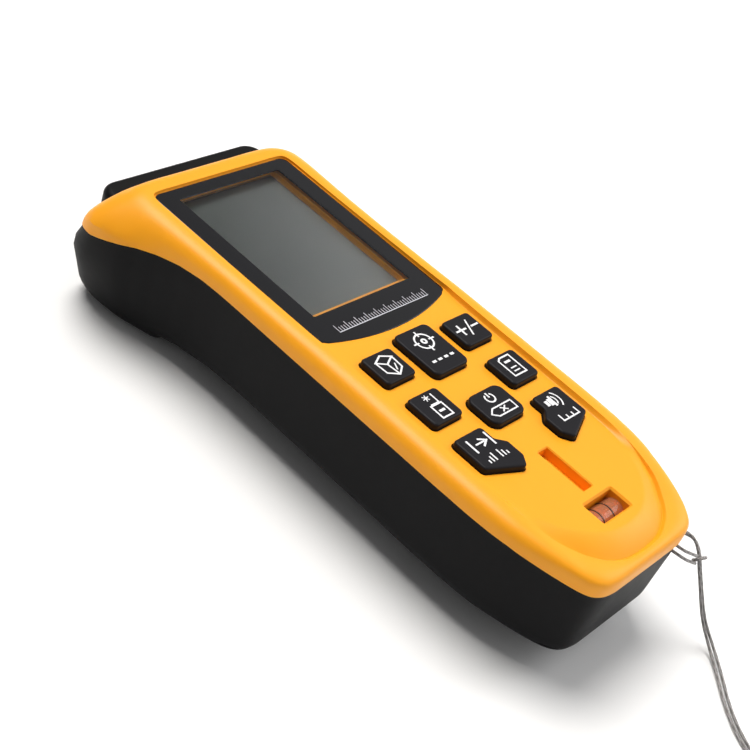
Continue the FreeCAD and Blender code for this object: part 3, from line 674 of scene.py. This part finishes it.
class METER_OT_camera(Operator):
    """Place the camera above the tail's left corner, looking along the meter"""
    bl_idname = "meter.camera"
    bl_label = "Camera"

    def execute(self, context):
        data = bpy.data.cameras.new("camera")
        data.lens = CAMERA_LENS
        data.sensor_width = 36.0
        data.shift_x = CAMERA_SHIFT
        data.shift_y = CAMERA_SHIFT
        data.clip_start = 0.005
        camera = bpy.data.objects.new("camera", data)
        context.scene.collection.objects.link(camera)
        right = Vector(CAMERA_RIGHT).normalized()
        forward = Vector(CAMERA_FORWARD).normalized()
        up = right.cross(forward).normalized()
        right = forward.cross(up).normalized()
        turn = Matrix((right, up, -forward)).transposed()
        camera.matrix_world = Matrix.Translation(CAMERA_PLACE) @ turn.to_4x4()
        context.scene.camera = camera
        return {"FINISHED"}


def coil_points(radius, first_angle, waver):
    """Points of neat coil turns, wound clockwise: a circle whose radius wavers and whose height climbs."""
    wound = np.arange(0, COIL_TURNS * COIL_STEPS + 1) / COIL_STEPS
    angle = first_angle - 2 * math.pi * wound
    wide = radius + waver * np.sin(wound * 2.3)
    return np.column_stack([COIL_CENTRE[0] + wide * np.cos(angle), COIL_CENTRE[1] + wide * np.sin(angle),
                            COIL_LOW + COIL_RISE * wound])


def strand(name, points, radius):
    """Round cord along one smooth NURBS line through given points and its coil turns."""
    curve = bpy.data.curves.new(name, "CURVE")
    curve.dimensions = "3D"
    curve.bevel_depth = radius
    curve.bevel_resolution = 4
    curve.resolution_u = 10
    curve.use_fill_caps = True
    spline = curve.splines.new("NURBS")
    spline.points.add(len(points) - 1)
    spline.points.foreach_set("co", np.column_stack([points * MM, np.ones(len(points))]).ravel())
    spline.order_u = 3
    spline.use_endpoint_u = True
    spline.use_smooth = True
    obj = bpy.data.objects.new(name, curve)
    bpy.context.scene.collection.objects.link(obj)
    return obj


class METER_OT_lanyard(Operator):
    """Make the wrist lanyard: two strands, their hitch, the wound-up end and its knot"""
    bl_idname = "meter.lanyard"
    bl_label = "Wrist lanyard"

    def execute(self, context):
        sizes, colours = settings()
        radius = sizes.strand_radius
        cord = weave_finish("lanyard_braid", tuple(colours.cord), 160.0)
        first = coil_points(radius=4.0, first_angle=0.4, waver=0.12)
        second = coil_points(radius=4.85, first_angle=0.3, waver=0.1)
        knot_at = np.array([COIL_CENTRE[0] - 6.7, COIL_CENTRE[1], 1.2])
        hitch = owned(hitch_piece(cord), "housing", "lanyard_cord", "lanyard_hitch")
        knot = owned(knot_piece(knot_at, cord), "housing", "lanyard_cord", "lanyard_knot")
        for name, route, turns, aside in (("strand_a", STRAND_A, first, 0.5),
                                          ("strand_b", STRAND_B, second, -0.5)):
            end = knot_at + (1.2, aside, 0.0)
            points = np.vstack([route, turns, (turns[-1] + end) / 2, end])
            obj = strand(name, points, radius)
            obj.data.materials.append(cord)
            owned(obj, "housing", "lanyard_cord", "lanyard_" + name)
            if name == "strand_a":
                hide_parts("lanyard_coil")
        return {"FINISHED"}


def hitch_piece(material):
    """Bight that grips the strands: a slightly oval, wavy ring across the strands' direction."""
    centre = np.array((16.09, -59.49, 14.99))
    axis = np.array((-0.2, -0.59, -0.78))
    axis /= np.linalg.norm(axis)
    across = np.cross(axis, (0.0, 0.0, 1.0))
    across /= np.linalg.norm(across)
    other = np.cross(axis, across)
    angle = np.linspace(0, 2 * math.pi, HITCH_STEPS, endpoint=False)
    wide = 1.0 + 0.12 * np.cos(2 * angle)
    path = (centre + wide[:, None] * (np.cos(angle)[:, None] * across + np.sin(angle)[:, None] * other)
            + 0.25 * np.sin(angle)[:, None] * axis)
    obj = piece("hitch", *tube(path, 0.27, closed=True), material)
    return with_tube_uv(obj, HITCH_STEPS, 8.0)


def knot_piece(centre, material):
    """Overhand knot: a tube along the trefoil path (sin t + 2 sin 2t, cos t - 2 cos 2t, -2.2 sin 3t)."""
    t = np.linspace(0, 2 * math.pi, KNOT_STEPS, endpoint=False)
    path = centre + 0.27 * np.column_stack([np.sin(t) + 2 * np.sin(2 * t), np.cos(t) - 2 * np.cos(2 * t),
                                            -2.2 * np.sin(3 * t)])
    obj = piece("end_knot", *tube(path, 0.36, closed=True), material)
    return with_tube_uv(obj, KNOT_STEPS, 12.0)


def with_tube_uv(obj, along, length):
    """UV map of a tube: u runs along it in braid lengths, v once round it."""
    mesh = obj.data
    layer = mesh.uv_layers.new(name="UVMap")
    index = np.empty(len(mesh.loops), int)
    mesh.loops.foreach_get("vertex_index", index)
    lengthwise, round_it = index // SECTION_STEPS, index % SECTION_STEPS
    uv = np.column_stack([lengthwise / along * length * 0.01, round_it / SECTION_STEPS])
    layer.data.foreach_set("uv", uv.ravel())
    return obj


class METER_OT_front_cover(Operator):
    """Make the front cover with its rim, sunk face and openings"""
    bl_idname = "meter.front_cover"
    bl_label = "Front cover"

    def execute(self, context):
        sizes, colours = settings()
        rows, outline, parting = cover_rows(sizes)
        under = spread(grown(outline, -1.7), parting)
        rows = np.vstack([rows, under[None]])
        cover = piece("front_cover_shell", *loft(rows), cover_finish(colours))
        inside = grown(mirrored_stations()[:, 0:2], -FRONT_WALL)
        ceiling = read_off(CEILING, inside[:, 1])
        hollow = loft([spread(inside, np.full(len(inside), 10.0)), spread(inside, ceiling - 0.4),
                       spread(grown(inside, -0.5), ceiling)])
        inner = 19.0
        openings = [prism(grown(key_outline(k), KEY_GAP), inner, KEY_CUT_TOP) for k in KEY_NODES]
        openings.append(flared_prism(rounded_box(1.25, -42.4, -32.8, 0.18, 3), 22.62, FACE_HEIGHT, 0.2))
        openings.append(flared_prism(level_mouth(), 18.0, FACE_HEIGHT, 0.35))
        openings.append(prism(lens_outline(WINDOW_GAP), WINDOW_SEAT, WINDOW_CUT_TOP))
        openings.append(prism(rounded_box(13.0, 7.8, 44.8, 0.4, 3), inner, KEY_CUT_TOP))
        carve(cover, [hollow, joined(openings)])
        carve(cover, [nose_room(46.0, 0.0)], sharp=28.0)
        owned(cover, "housing", "yellow_plastic", "front_cover")
        return {"FINISHED"}


def nose_room(back, low):
    """Block cut out of a cover for the front block, from its back face forwards and from a height up."""
    return block((-NOSE_BLOCK_HALF, NOSE_BLOCK_HALF), (back, 60.0), (low, NOSE_BLOCK_TOP))


def level_mouth():
    """Plan outline of the level's opening in the face."""
    return rounded_box(3.7, -48.6, -44.4, 0.2, 3)


def key_outline(name):
    """Plan outline of a key with its rounded corners."""
    return rounded(KEY_CORNERS[name], KEY_CORNER.get(name, SMALL_KEY_CORNER), 8)


class METER_OT_rear_cover(Operator):
    """Make the rear cover with its battery opening, screw wells, strap tunnel and the battery door"""
    bl_idname = "meter.rear_cover"
    bl_label = "Rear cover and battery door"

    def execute(self, context):
        sizes, colours = settings()
        black = housing_finish(colours)
        rows = rear_rows(sizes)
        cover = piece("rear_cover_shell", *loft(rows), black)
        door = piece("battery_door_panel", *loft(rows), black)
        wells = [joined([well(x, y) for x, y in SCREW_PLACES])]
        bay = [block((-13.9, 13.9), (-70.0, 1.8), (-5.0, 6.0)),
               block((-12.8, 12.8), (-50.0, 1.5), (5.0, 17.7))]
        tunnel = [block((8.4, 11.4), (-60.0, -53.0), (17.2, 20.5)),
                  block((8.5, 24.0), (-55.6, -53.1), (17.3, 20.4))]
        carve(cover, [rear_hollow()] + bay + wells + tunnel + [nose_room(47.0, 2.15)], sharp=30.0)
        carve(door, [block((-13.6, 13.6), (-70.0, 1.5), (-5.0, 5.7))], "INTERSECT")
        ridges = [ridge_groove(-8.0 - 1.8 * n) for n in range(5)]
        arrow = [prism([(-1.6, -20.2), (1.6, -20.2), (0.0, -22.6)], 3.0, 4.55)]
        carve(door, [joined(ridges + arrow)], sharp=30.0)
        owned(cover, "housing", "black_plastic", "rear_cover")
        owned(door, "battery_door", "black_plastic", "battery_door")
        return {"FINISHED"}


def rear_hollow():
    """Room inside the rear cover, open at the parting: its outline drawn in by the wall, above its floor."""
    outline = mirrored_stations()[:, 0:2]
    inner = grown(outline, -REAR_WALL)
    floor = read_off(BACK, outline[:, 1]) + REAR_FLOOR
    bend = 2.2
    return loft([spread(inner - outward(outline) * bend, floor), spread(inner, floor + bend),
                 spread(inner, np.full(len(inner), 14.0)), spread(inner, np.full(len(inner), 30.0))])


def well(x, y):
    """Stepped round screw well, open at the back."""
    angle = np.linspace(0, 2 * math.pi, 28, endpoint=False)
    circle = np.column_stack([np.cos(angle), np.sin(angle)])
    floor = float(read_off(BACK, y)) + 3.6
    return loft([at_height((x, y) + radius * circle, z) for radius, z in (
        (2.35, -2.0), (2.35, floor - 3.2), (1.95, floor - 2.8), (1.95, floor))])


def ridge_groove(y):
    """Grip groove across the door with rounded ends."""
    return prism(rounded_box(5.2, y, y + 0.8, 0.39, 5), 3.0, 4.65)


class METER_OT_keys(Operator):
    """Make the eight rubber keys"""
    bl_idname = "meter.keys"
    bl_label = "Keys"

    def execute(self, context):
        sizes, colours = settings()
        rubber = key_finish(colours)
        soft = sizes.key_round / MM
        for name in KEY_NODES:
            outline = key_outline(name)
            rows = [at_height(grown(outline, -inset), z)
                    for inset, z in ((0.0, 22.0), (0.0, 24.0), (0.02, 25.0))]
            for angle in np.radians(np.linspace(0, 90, 8)):
                inset = 0.03 + soft * (1 - math.cos(angle))
                rows.append(at_height(grown(outline, -inset), KEY_TOP - soft * (1 - math.sin(angle))))
            rows.append(at_height(grown(outline, -soft - 0.2), KEY_TOP))
            cap = piece(name + "_cap", *loft(rows), rubber)
            owned(cap, name, "key_rubber", name)
        return {"FINISHED"}


# ---- printed marks

def stroke(path, width, closed=False):
    """Flat line of even width: each point moves half the width along its mitred normal, to both sides."""
    p = np.asarray(path, float)
    if closed:
        ahead, behind = np.roll(p, -1, 0) - p, p - np.roll(p, 1, 0)
    else:
        run = np.diff(p, axis=0)
        ahead, behind = np.vstack([run, run[-1:]]), np.vstack([run[:1], run])
    ahead /= np.linalg.norm(ahead, axis=1, keepdims=True)
    behind /= np.linalg.norm(behind, axis=1, keepdims=True)
    along = ahead + behind
    along /= np.linalg.norm(along, axis=1, keepdims=True)
    normal = np.column_stack([-along[:, 1], along[:, 0]])
    stretch = np.clip(1 / np.maximum(np.sum(along * ahead, 1), 0.3), 1, 2.5)
    side = normal * (stretch * width / 2)[:, None]
    return p + side, p - side


def flat_marks(strokes, low, high):
    """Thin closed plates for strokes, between two heights, each a hair above the last so none are level."""
    parts = []
    for number, (path, width, closed) in enumerate(strokes):
        left, right = stroke(path, width * PRINT_WEIGHT, closed)
        n = len(left)
        high += 0.0006 * number / (number + 1)
        points = np.vstack([at_height(edge, z) for z in (high, low) for edge in (left, right)])
        i = np.arange(n if closed else n - 1)
        j = (i + 1) % n
        faces = np.vstack([np.stack(corners, 1) for corners in (
            (i, j, n + j, n + i), (3 * n + i, 3 * n + j, 2 * n + j, 2 * n + i),
            (2 * n + i, 2 * n + j, j, i), (n + i, n + j, 3 * n + j, 3 * n + i))]).tolist()
        if not closed:
            faces += [[0, n, 3 * n, 2 * n], [2 * n - 1, n - 1, 3 * n - 1, 4 * n - 1]]
        parts.append((points, faces))
    return joined(parts)


def line(width, *points):
    """Open stroke of one width through points."""
    return points, width, False


def loop(width, *points):
    """Closed stroke of one width through points."""
    return points, width, True


def star(centre, size, arms, width):
    """Short strokes crossing at one point."""
    angle = np.arange(arms) * math.pi / arms + 0.2
    ends = np.stack([np.cos(angle), np.sin(angle)], 1) * size
    return [line(width, centre - e, centre + e) for e in ends]


def ring(centre, radius, start=0.0, end=360.0):
    """Arc of a circle as points, between two angles in degrees."""
    angle = np.radians(np.linspace(start, end, 25))
    return np.column_stack([centre[0] + radius * np.cos(angle), centre[1] + radius * np.sin(angle)])


def level_bars(centre, heights, pitch):
    """Row of short upright bars of the given heights, standing on one line."""
    left = centre[0] - pitch * (len(heights) - 1) / 2
    low = centre[1] - max(heights) / 2
    return [line(0.36, (left + pitch * n, low), (left + pitch * n, low + tall))
            for n, tall in enumerate(heights)]


def key_marks():
    """Strokes of each key's pictogram: path, width and whether it is closed."""
    wide = 0.4
    cube = [loop(wide, (-12.1, -5.4), (-10.1, -4.4), (-8.2, -5.4), (-10.3, -6.5)),
            line(wide, (-12.1, -5.4), (-11.9, -8.0), (-10.0, -9.2), (-8.3, -8.0), (-8.2, -5.4)),
            line(wide, (-10.3, -6.5), (-10.0, -9.2)), line(0.32, (-9.6, -8.2), (-8.9, -6.8))]
    aim = [line(0.42, *ring((0.1, -5.4), 1.75)), line(0.5, *ring((0.1, -5.4), 0.45))]
    aim += [line(0.4, (0.1 + 1.2 * x, -5.4 + 1.2 * y), (0.1 + 2.5 * x, -5.4 + 2.5 * y))
            for x, y in ((1, 0), (-1, 0), (0, 1), (0, -1))]
    aim += [line(0.62, (x, -9.9), (x + 0.9, -9.9)) for x in (-2.6, -1.1, 0.4, 1.9)]
    plus = [line(0.5, (8.7, -5.3), (8.7, -7.9)), line(0.5, (7.4, -6.6), (10.0, -6.6)),
            line(0.4, (10.0, -8.4), (11.5, -4.9)), line(0.5, (11.3, -6.6), (13.2, -6.6))]
    card = [loop(wide, (8.6, -15.4), (9.3, -14.9), (11.7, -14.9), (11.7, -19.3), (8.6, -19.3)),
            line(0.6, (9.4, -16.1), (10.9, -16.1)), line(0.34, (9.4, -18.4), (10.9, -18.4)),
            line(0.34, (9.4, -17.6), (10.9, -17.6))]
    reference = [loop(wide, (-11.2, -17.2), (-8.7, -17.2), (-8.7, -20.0), (-11.2, -20.0)),
                 line(0.6, (-10.6, -18.6), (-9.3, -18.6)), line(0.36, (-9.0, -14.9), (-9.0, -16.9)),
                 line(0.36, (-10.9, -17.0), (-8.9, -17.0))] + star((-10.5, -15.4), 0.7, 3, 0.24)
    power = [line(wide, *ring((-0.1, -20.7), 0.95, 125.0, 415.0)),
             line(wide, (-0.1, -20.6), (-0.1, -19.5))]
    erase = [loop(0.36, (-3.0, -23.6), (-1.9, -22.7), (2.8, -22.7), (2.8, -24.5), (-1.9, -24.5)),
             line(0.34, (-0.4, -23.1), (0.9, -24.1)), line(0.34, (-0.4, -24.1), (0.9, -23.1))]
    span = [line(0.5, (-12.0, -25.5), (-12.0, -28.4)), line(0.5, (-7.6, -25.5), (-7.6, -28.4)),
            line(0.4, (-11.1, -26.95), (-9.0, -26.95)),
            line(0.45, (-9.9, -26.1), (-8.5, -26.95), (-9.9, -27.8))]
    span += level_bars((-11.0, -30.1), (0.7, 1.2, 1.7), 0.75)
    span += level_bars((-8.0, -30.1), (1.7, 1.2, 0.7), 0.75)
    sound = [line(0.9, (8.3, -26.1), (8.3, -27.3)), line(0.8, (9.1, -25.9), (9.1, -27.5)),
             line(0.6, (9.7, -25.5), (9.7, -27.9)), line(0.34, *ring((9.4, -26.7), 1.2, -50, 50)),
             line(0.34, *ring((9.4, -26.7), 2.1, -50, 50))]
    sound.append(line(0.36, (7.6, -30.9), (12.2, -30.9)))
    sound += level_bars((9.9, -30.2), (1.5, 0.9, 0.9, 1.5), 1.4)
    return {"key_area": cube, "key_read": aim, "key_plus_minus": plus, "key_memory": card,
            "key_reference": reference, "key_clear": power + erase, "key_max_min": span, "key_unit": sound}


class METER_OT_key_print(Operator):
    """Print the white marks on the keys"""
    bl_idname = "meter.key_print"
    bl_label = "Key marks"

    def execute(self, context):
        top = KEY_TOP + context.scene.meter_sizes.print_thickness / MM
        ink = print_finish()
        for name, strokes in key_marks().items():
            owned(piece(name + "_marks", *flat_marks(strokes, KEY_TOP - 0.01, top), ink), name, "key_rubber")
        return {"FINISHED"}


class METER_OT_display(Operator):
    """Make the display window with its printed border, the scale, and the display behind it"""
    bl_idname = "meter.display"
    bl_label = "Display window"

    def execute(self, context):
        sizes, colours = settings()
        gloss = finish("border_gloss", (0.006, 0.006, 0.0075), rough=0.1, grain=600.0, depth=0.02, tone=0.1,
                       spread_of_rough=0.03, specular=0.4)
        border = piece("display_border", *lens_solid(WINDOW_TOP), gloss)
        pane_shape = rounded_box(12.17, 8.65, 43.45, 0.35, 4)
        carve(border, [prism(pane_shape, 20.0, WINDOW_CUT_TOP)], sharp=40.0)
        pane = piece("display_pane", *prism(grown(pane_shape, -0.03), WINDOW_TOP - 0.98, WINDOW_TOP - 0.03),
                     pane_finish())
        outer = rounded_box(12.9, 7.9, 44.7, 0.4, 4)
        ledge = rounded_box(12.17, 9.75, 43.6, 0.35, 4)
        deep = rounded_box(12.0, 9.9, 44.5, 0.35, 4)
        walls = [at_height(shape, z) for shape, z in (
            (outer, SURROUND_LOW), (outer, SURROUND_TOP), (ledge, SURROUND_TOP), (deep, SURROUND_LOW))]
        # The surround takes the cover's colour with painted shade
        surround = piece("display_surround", *closed_band(walls), surround_finish_painted_shade(colours))
        crystal = piece("crystal_panel", *prism(grown(outer, -0.1), DISPLAY_LOW, DISPLAY_TOP),
                        display_finish_painted_reflection())
        owned(surround, "housing", "yellow_plastic")
        owned(crystal, "housing", "lcd", "lcd_panel")
        owned(border, "housing", "display_glass", "display_lens")
        owned(pane, "housing", "display_glass")
        marks = flat_marks(scale_strokes(sizes.scale_marks), WINDOW_TOP - 0.005,
                           WINDOW_TOP + sizes.print_thickness / MM)
        scale = piece("printed_scale", *marks,
                      finish("scale_print", (0.55, 0.55, 0.6), rough=0.4, grain=7000.0, depth=0.1, tone=0.2))
        owned(scale, "housing", "display_glass")
        return {"FINISHED"}


def scale_strokes(count):
    """Strokes of the printed scale: a base line and its ticks, every fourth one taller."""
    start, end, base = -10.8, 11.8, 3.8
    ticks = [line(0.22, (start, base - 0.05), (end, base - 0.05))]
    for n, x in enumerate(np.linspace(start + 0.1, end - 0.1, count)):
        ticks.append(line(0.16, (x, base), (x, base + (1.1 if n % 4 else 1.75))))
    return ticks


def lens_solid(top):
    """Window plate with a small rounded upper edge."""
    outline = lens_outline(0.0)
    edge = 0.18
    rows = [at_height(outline, top - 0.3)]
    for angle in np.radians(np.linspace(0, 90, 5)):
        inset, down = edge * (1 - math.cos(angle)), edge * (1 - math.sin(angle))
        rows.append(at_height(grown(outline, -inset), top - down))
    rows.append(at_height(grown(outline, -0.5), top))
    return loft(rows)


def clear_finish(name, colour, rough, transmission, ior, tone=0.02, spread_of_rough=0.01, coat=0.0):
    """Clear or tinted see-through material, almost without grain."""
    return finish(name, colour, rough=rough, grain=500.0, depth=0.01, tone=tone,
                  spread_of_rough=spread_of_rough, coat=coat, transmission=transmission, ior=ior)


def pane_finish():
    """Clear acrylic of the window."""
    return clear_finish("window_acrylic", (0.86, 0.87, 0.88), 0.03, 1.0, 1.04, spread_of_rough=0.02, coat=0.5)


def surround_finish_painted_shade(colours):
    """Rougher moulded plastic of the walls round the display, with painted shade: the cover's colour darkened
    by a fifth.
    """
    # Painted shade: the cover's colour times 0.8 for the sunk walls round the display and the level's well
    return finish("surround_plastic", tuple(c * 0.8 for c in colours.cover), rough=0.6, grain=3800.0,
                  depth=0.12)


def display_finish_painted_reflection():
    """Liquid crystal face: grey-green, with a painted reflection that grows darker along a diagonal towards
    one corner.
    """
    material = finish("crystal_face", (0.13, 0.14, 0.125), rough=0.35, grain=4200.0, depth=0.03, tone=0.1)
    tree = material.node_tree
    place = tree.nodes["Texture Coordinate"]
    # Painted reflection: the face's colour runs from near black to light grey along a diagonal of its object
    # coordinates
    turn = fed(tree, "ShaderNodeMapping", {"Vector": place.outputs["Object"], "Location": (0.36, 0.61, 0.0),
                                           "Scale": (30.0, -14.0, 0.0)})
    split = fed(tree, "ShaderNodeSeparateXYZ", {0: turn.outputs["Vector"]})
    both = fed(tree, "ShaderNodeMath", {0: split.outputs["X"], 1: split.outputs["Y"]}, operation="ADD",
               use_clamp=True)
    between(material, both.outputs[0], (0.022, 0.028, 0.023, 1.0), (0.155, 0.16, 0.155, 1.0))
    return material


class METER_OT_level(Operator):
    """Make the bubble level's well and its two index rings"""
    bl_idname = "meter.level"
    bl_label = "Bubble level"

    def execute(self, context):
        ink = finish("level_ink", (0.02, 0.012, 0.01), rough=0.3, grain=2000.0, depth=0.05)
        angle = np.linspace(0, 2 * math.pi, 48, endpoint=False)
        circle = VIAL_RING_RADIUS * np.column_stack([np.cos(angle), np.sin(angle)])
        rings = []
        for x in VIAL_RINGS:
            path = np.column_stack([np.full(len(angle), x), VIAL_AXIS + circle])
            rings.append(tube(path, VIAL_RING_LINE, 8, closed=True))
        mouth = level_mouth()
        brim, brim_top = grown(mouth, 0.7), 23.5
        rows = [at_height(shape, z) for shape, z in (
            (brim, 18.3), (brim, brim_top), (grown(mouth, 0.02), brim_top), (mouth, 19.0),
            (grown(mouth, -0.3), 18.7))]
        # The well's lining takes the cover's colour with painted shade
        lining = piece("level_well", *loft(rows), surround_finish_painted_shade(context.scene.meter_colours))
        owned(lining, "housing", "yellow_plastic")
        owned(piece("level_rings", *joined(rings), ink), "housing", "clear_glass")
        return {"FINISHED"}


def carried_finishes(colours):
    """Finish of every CAD node that stays in view or shows through an opening."""
    steel = finish("spring_steel", (0.55, 0.55, 0.56), rough=0.28, metal=1.0, grain=1500.0, depth=0.1)
    screw = finish("screw_zinc", (0.45, 0.45, 0.47), rough=0.35, metal=1.0, grain=2200.0, depth=0.25)
    clear = clear_finish("clear_glass", (0.95, 0.95, 0.95), 0.02, 1.0, 1.47)
    vial = clear_finish("vial_acrylic", (0.95, 0.42, 0.2), 0.06, 0.75, 1.3, tone=0.05, spread_of_rough=0.02)
    coated = clear_finish("coated_glass", (0.35, 0.12, 0.16), 0.03, 0.85, 1.5, tone=0.03)
    jacket = finish("cell_jacket", (0.03, 0.05, 0.09), rough=0.25, grain=900.0, depth=0.05, coat=0.3)
    board = board_finish()
    parts = finish("component_case", (0.05, 0.05, 0.055), rough=0.4, grain=2600.0, depth=0.2)
    can = finish("shield_tin", (0.5, 0.5, 0.52), rough=0.3, metal=1.0, grain=1800.0, depth=0.15)
    liquid = clear_finish("level_liquid", (0.78, 0.22, 0.05), 0.08, 0.2, 1.36, tone=0.1, spread_of_rough=0.02)
    chassis = finish("chassis_plastic", (0.03, 0.03, 0.034), rough=0.55, grain=2600.0, depth=0.3)
    return {
        "front_bezel": housing_finish(colours),
        "lcd_backlight": finish("backlight_guide", (0.75, 0.75, 0.72), rough=0.4, grain=2400.0, depth=0.1),
        "keypad_mat": key_finish(colours), "dome_switches": steel, "main_board": board,
        "board_parts": can, "buzzer": parts, "bubble_vial": vial, "vial_liquid": liquid,
        "vial_cradle": cover_finish(colours), "battery_tray": chassis,
        "battery_cell_left": jacket, "battery_cell_right": jacket,
        "contact_springs": steel, "contact_plates": steel, "optics_block": chassis, "receiver_lens": clear,
        "receiver_board": board,
        "laser_module": finish("laser_barrel", (0.62, 0.45, 0.2), rough=0.3, metal=1.0, grain=1800.0,
                               depth=0.12),
        "receiver_window": coated, "laser_window": coated, "case_screws": screw,
    }


class METER_OT_carried(Operator):
    """Give every kept CAD node its finish"""
    bl_idname = "meter.carried"
    bl_label = "Finishes of kept parts"

    def execute(self, context):
        for node, material in carried_finishes(context.scene.meter_colours).items():
            data = bpy.data.objects[node].data
            if not data.materials:
                data.materials.append(material)
            for slot in range(len(data.materials)):
                data.materials[slot] = material
        return {"FINISHED"}


def studio_world():
    """Pale surroundings that dim away from the right."""
    world = bpy.data.worlds.new("studio")
    world.use_nodes = True
    tree = world.node_tree
    place = fed(tree, "ShaderNodeTexCoord", {})
    along = fed(tree, "ShaderNodeVectorMath", {0: place.outputs["Generated"], 1: (0.83, -0.55, 0.0)},
                operation="DOT_PRODUCT")
    strength = fed(tree, "ShaderNodeMapRange", {"Value": along.outputs["Value"], "From Min": 0.0,
                                                "From Max": 0.7, "To Min": 0.16, "To Max": 0.75})
    sky = tree.nodes["Background"]
    tree.links.new(strength.outputs["Result"], sky.inputs["Strength"])
    sky.inputs["Color"].default_value = (1.0, 1.0, 1.0, 1.0)
    return world


def aimed_lamp(data, place):
    """Lamp at a place, turned to face the meter."""
    lamp = bpy.data.objects.new(data.name, data)
    bpy.context.scene.collection.objects.link(lamp)
    lamp.location = place
    lamp.rotation_mode = "QUATERNION"
    lamp.rotation_quaternion = (-Vector(place)).to_track_quat("-Z", "Y")


class METER_OT_stage(Operator):
    """Make the plain pale floor and the soft studio light"""
    bl_idname = "meter.stage"
    bl_label = "Stage"

    def execute(self, context):
        reach = 3000.0
        pale = finish("stage_floor", context.scene.meter_colours.stage, rough=0.8, grain=300.0, depth=0.0,
                      tone=0.0)
        corners = [(-reach, -reach, 0), (reach, -reach, 0), (reach, reach, 0), (-reach, reach, 0)]
        floor = piece("floor", corners, [[0, 1, 2, 3]], pale)
        context.scene.world = studio_world()
        sky = bpy.data.lights.new("top_light", "SUN")
        sky.energy = 3.3
        sky.angle = math.radians(37)
        sky.color = (1.0, 0.98, 0.95)
        aimed_lamp(sky, (0.05, 0.30, 0.68))
        side = bpy.data.lights.new("side_light", "AREA")
        side.shape = "DISK"
        side.size = 0.4
        side.energy = 1.2
        aimed_lamp(side, (0.55, -0.25, 0.42))
        context.scene.view_settings.view_transform = "Standard"
        return {"FINISHED"}


class METER_PT_panel(Panel):
    """Sidebar panel with the settings and one button for each piece"""
    bl_idname = "METER_PT_panel"
    bl_label = "Distance meter"
    bl_space_type = "VIEW_3D"
    bl_region_type = "UI"
    bl_category = "Meter"

    def draw(self, context):
        column = self.layout.column()
        for group in (context.scene.meter_sizes, context.scene.meter_colours):
            for name in group.__annotations__:
                column.prop(group, name)
        for step in STEPS:
            column.operator(step.bl_idname)


STEPS = (METER_OT_camera, METER_OT_lanyard, METER_OT_front_cover, METER_OT_rear_cover, METER_OT_keys,
         METER_OT_key_print, METER_OT_display, METER_OT_level, METER_OT_carried, METER_OT_stage)
CLASSES = (MeterSizes, MeterColours) + STEPS + (METER_PT_panel,)


def register():
    """Register every class and tie the settings to the scene."""
    for cls in CLASSES:
        bpy.utils.register_class(cls)
    bpy.types.Scene.meter_sizes = PointerProperty(type=MeterSizes)
    bpy.types.Scene.meter_colours = PointerProperty(type=MeterColours)


def unregister():
    """Undo what register did, in reverse."""
    del bpy.types.Scene.meter_colours
    del bpy.types.Scene.meter_sizes
    for cls in reversed(CLASSES):
        bpy.utils.unregister_class(cls)


def main():
    """Register, and make every piece in order."""
    register()
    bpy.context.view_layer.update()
    for step in STEPS:
        group, name = step.bl_idname.split(".")
        getattr(getattr(bpy.ops, group), name)()


if __name__ == "__main__":
    main()
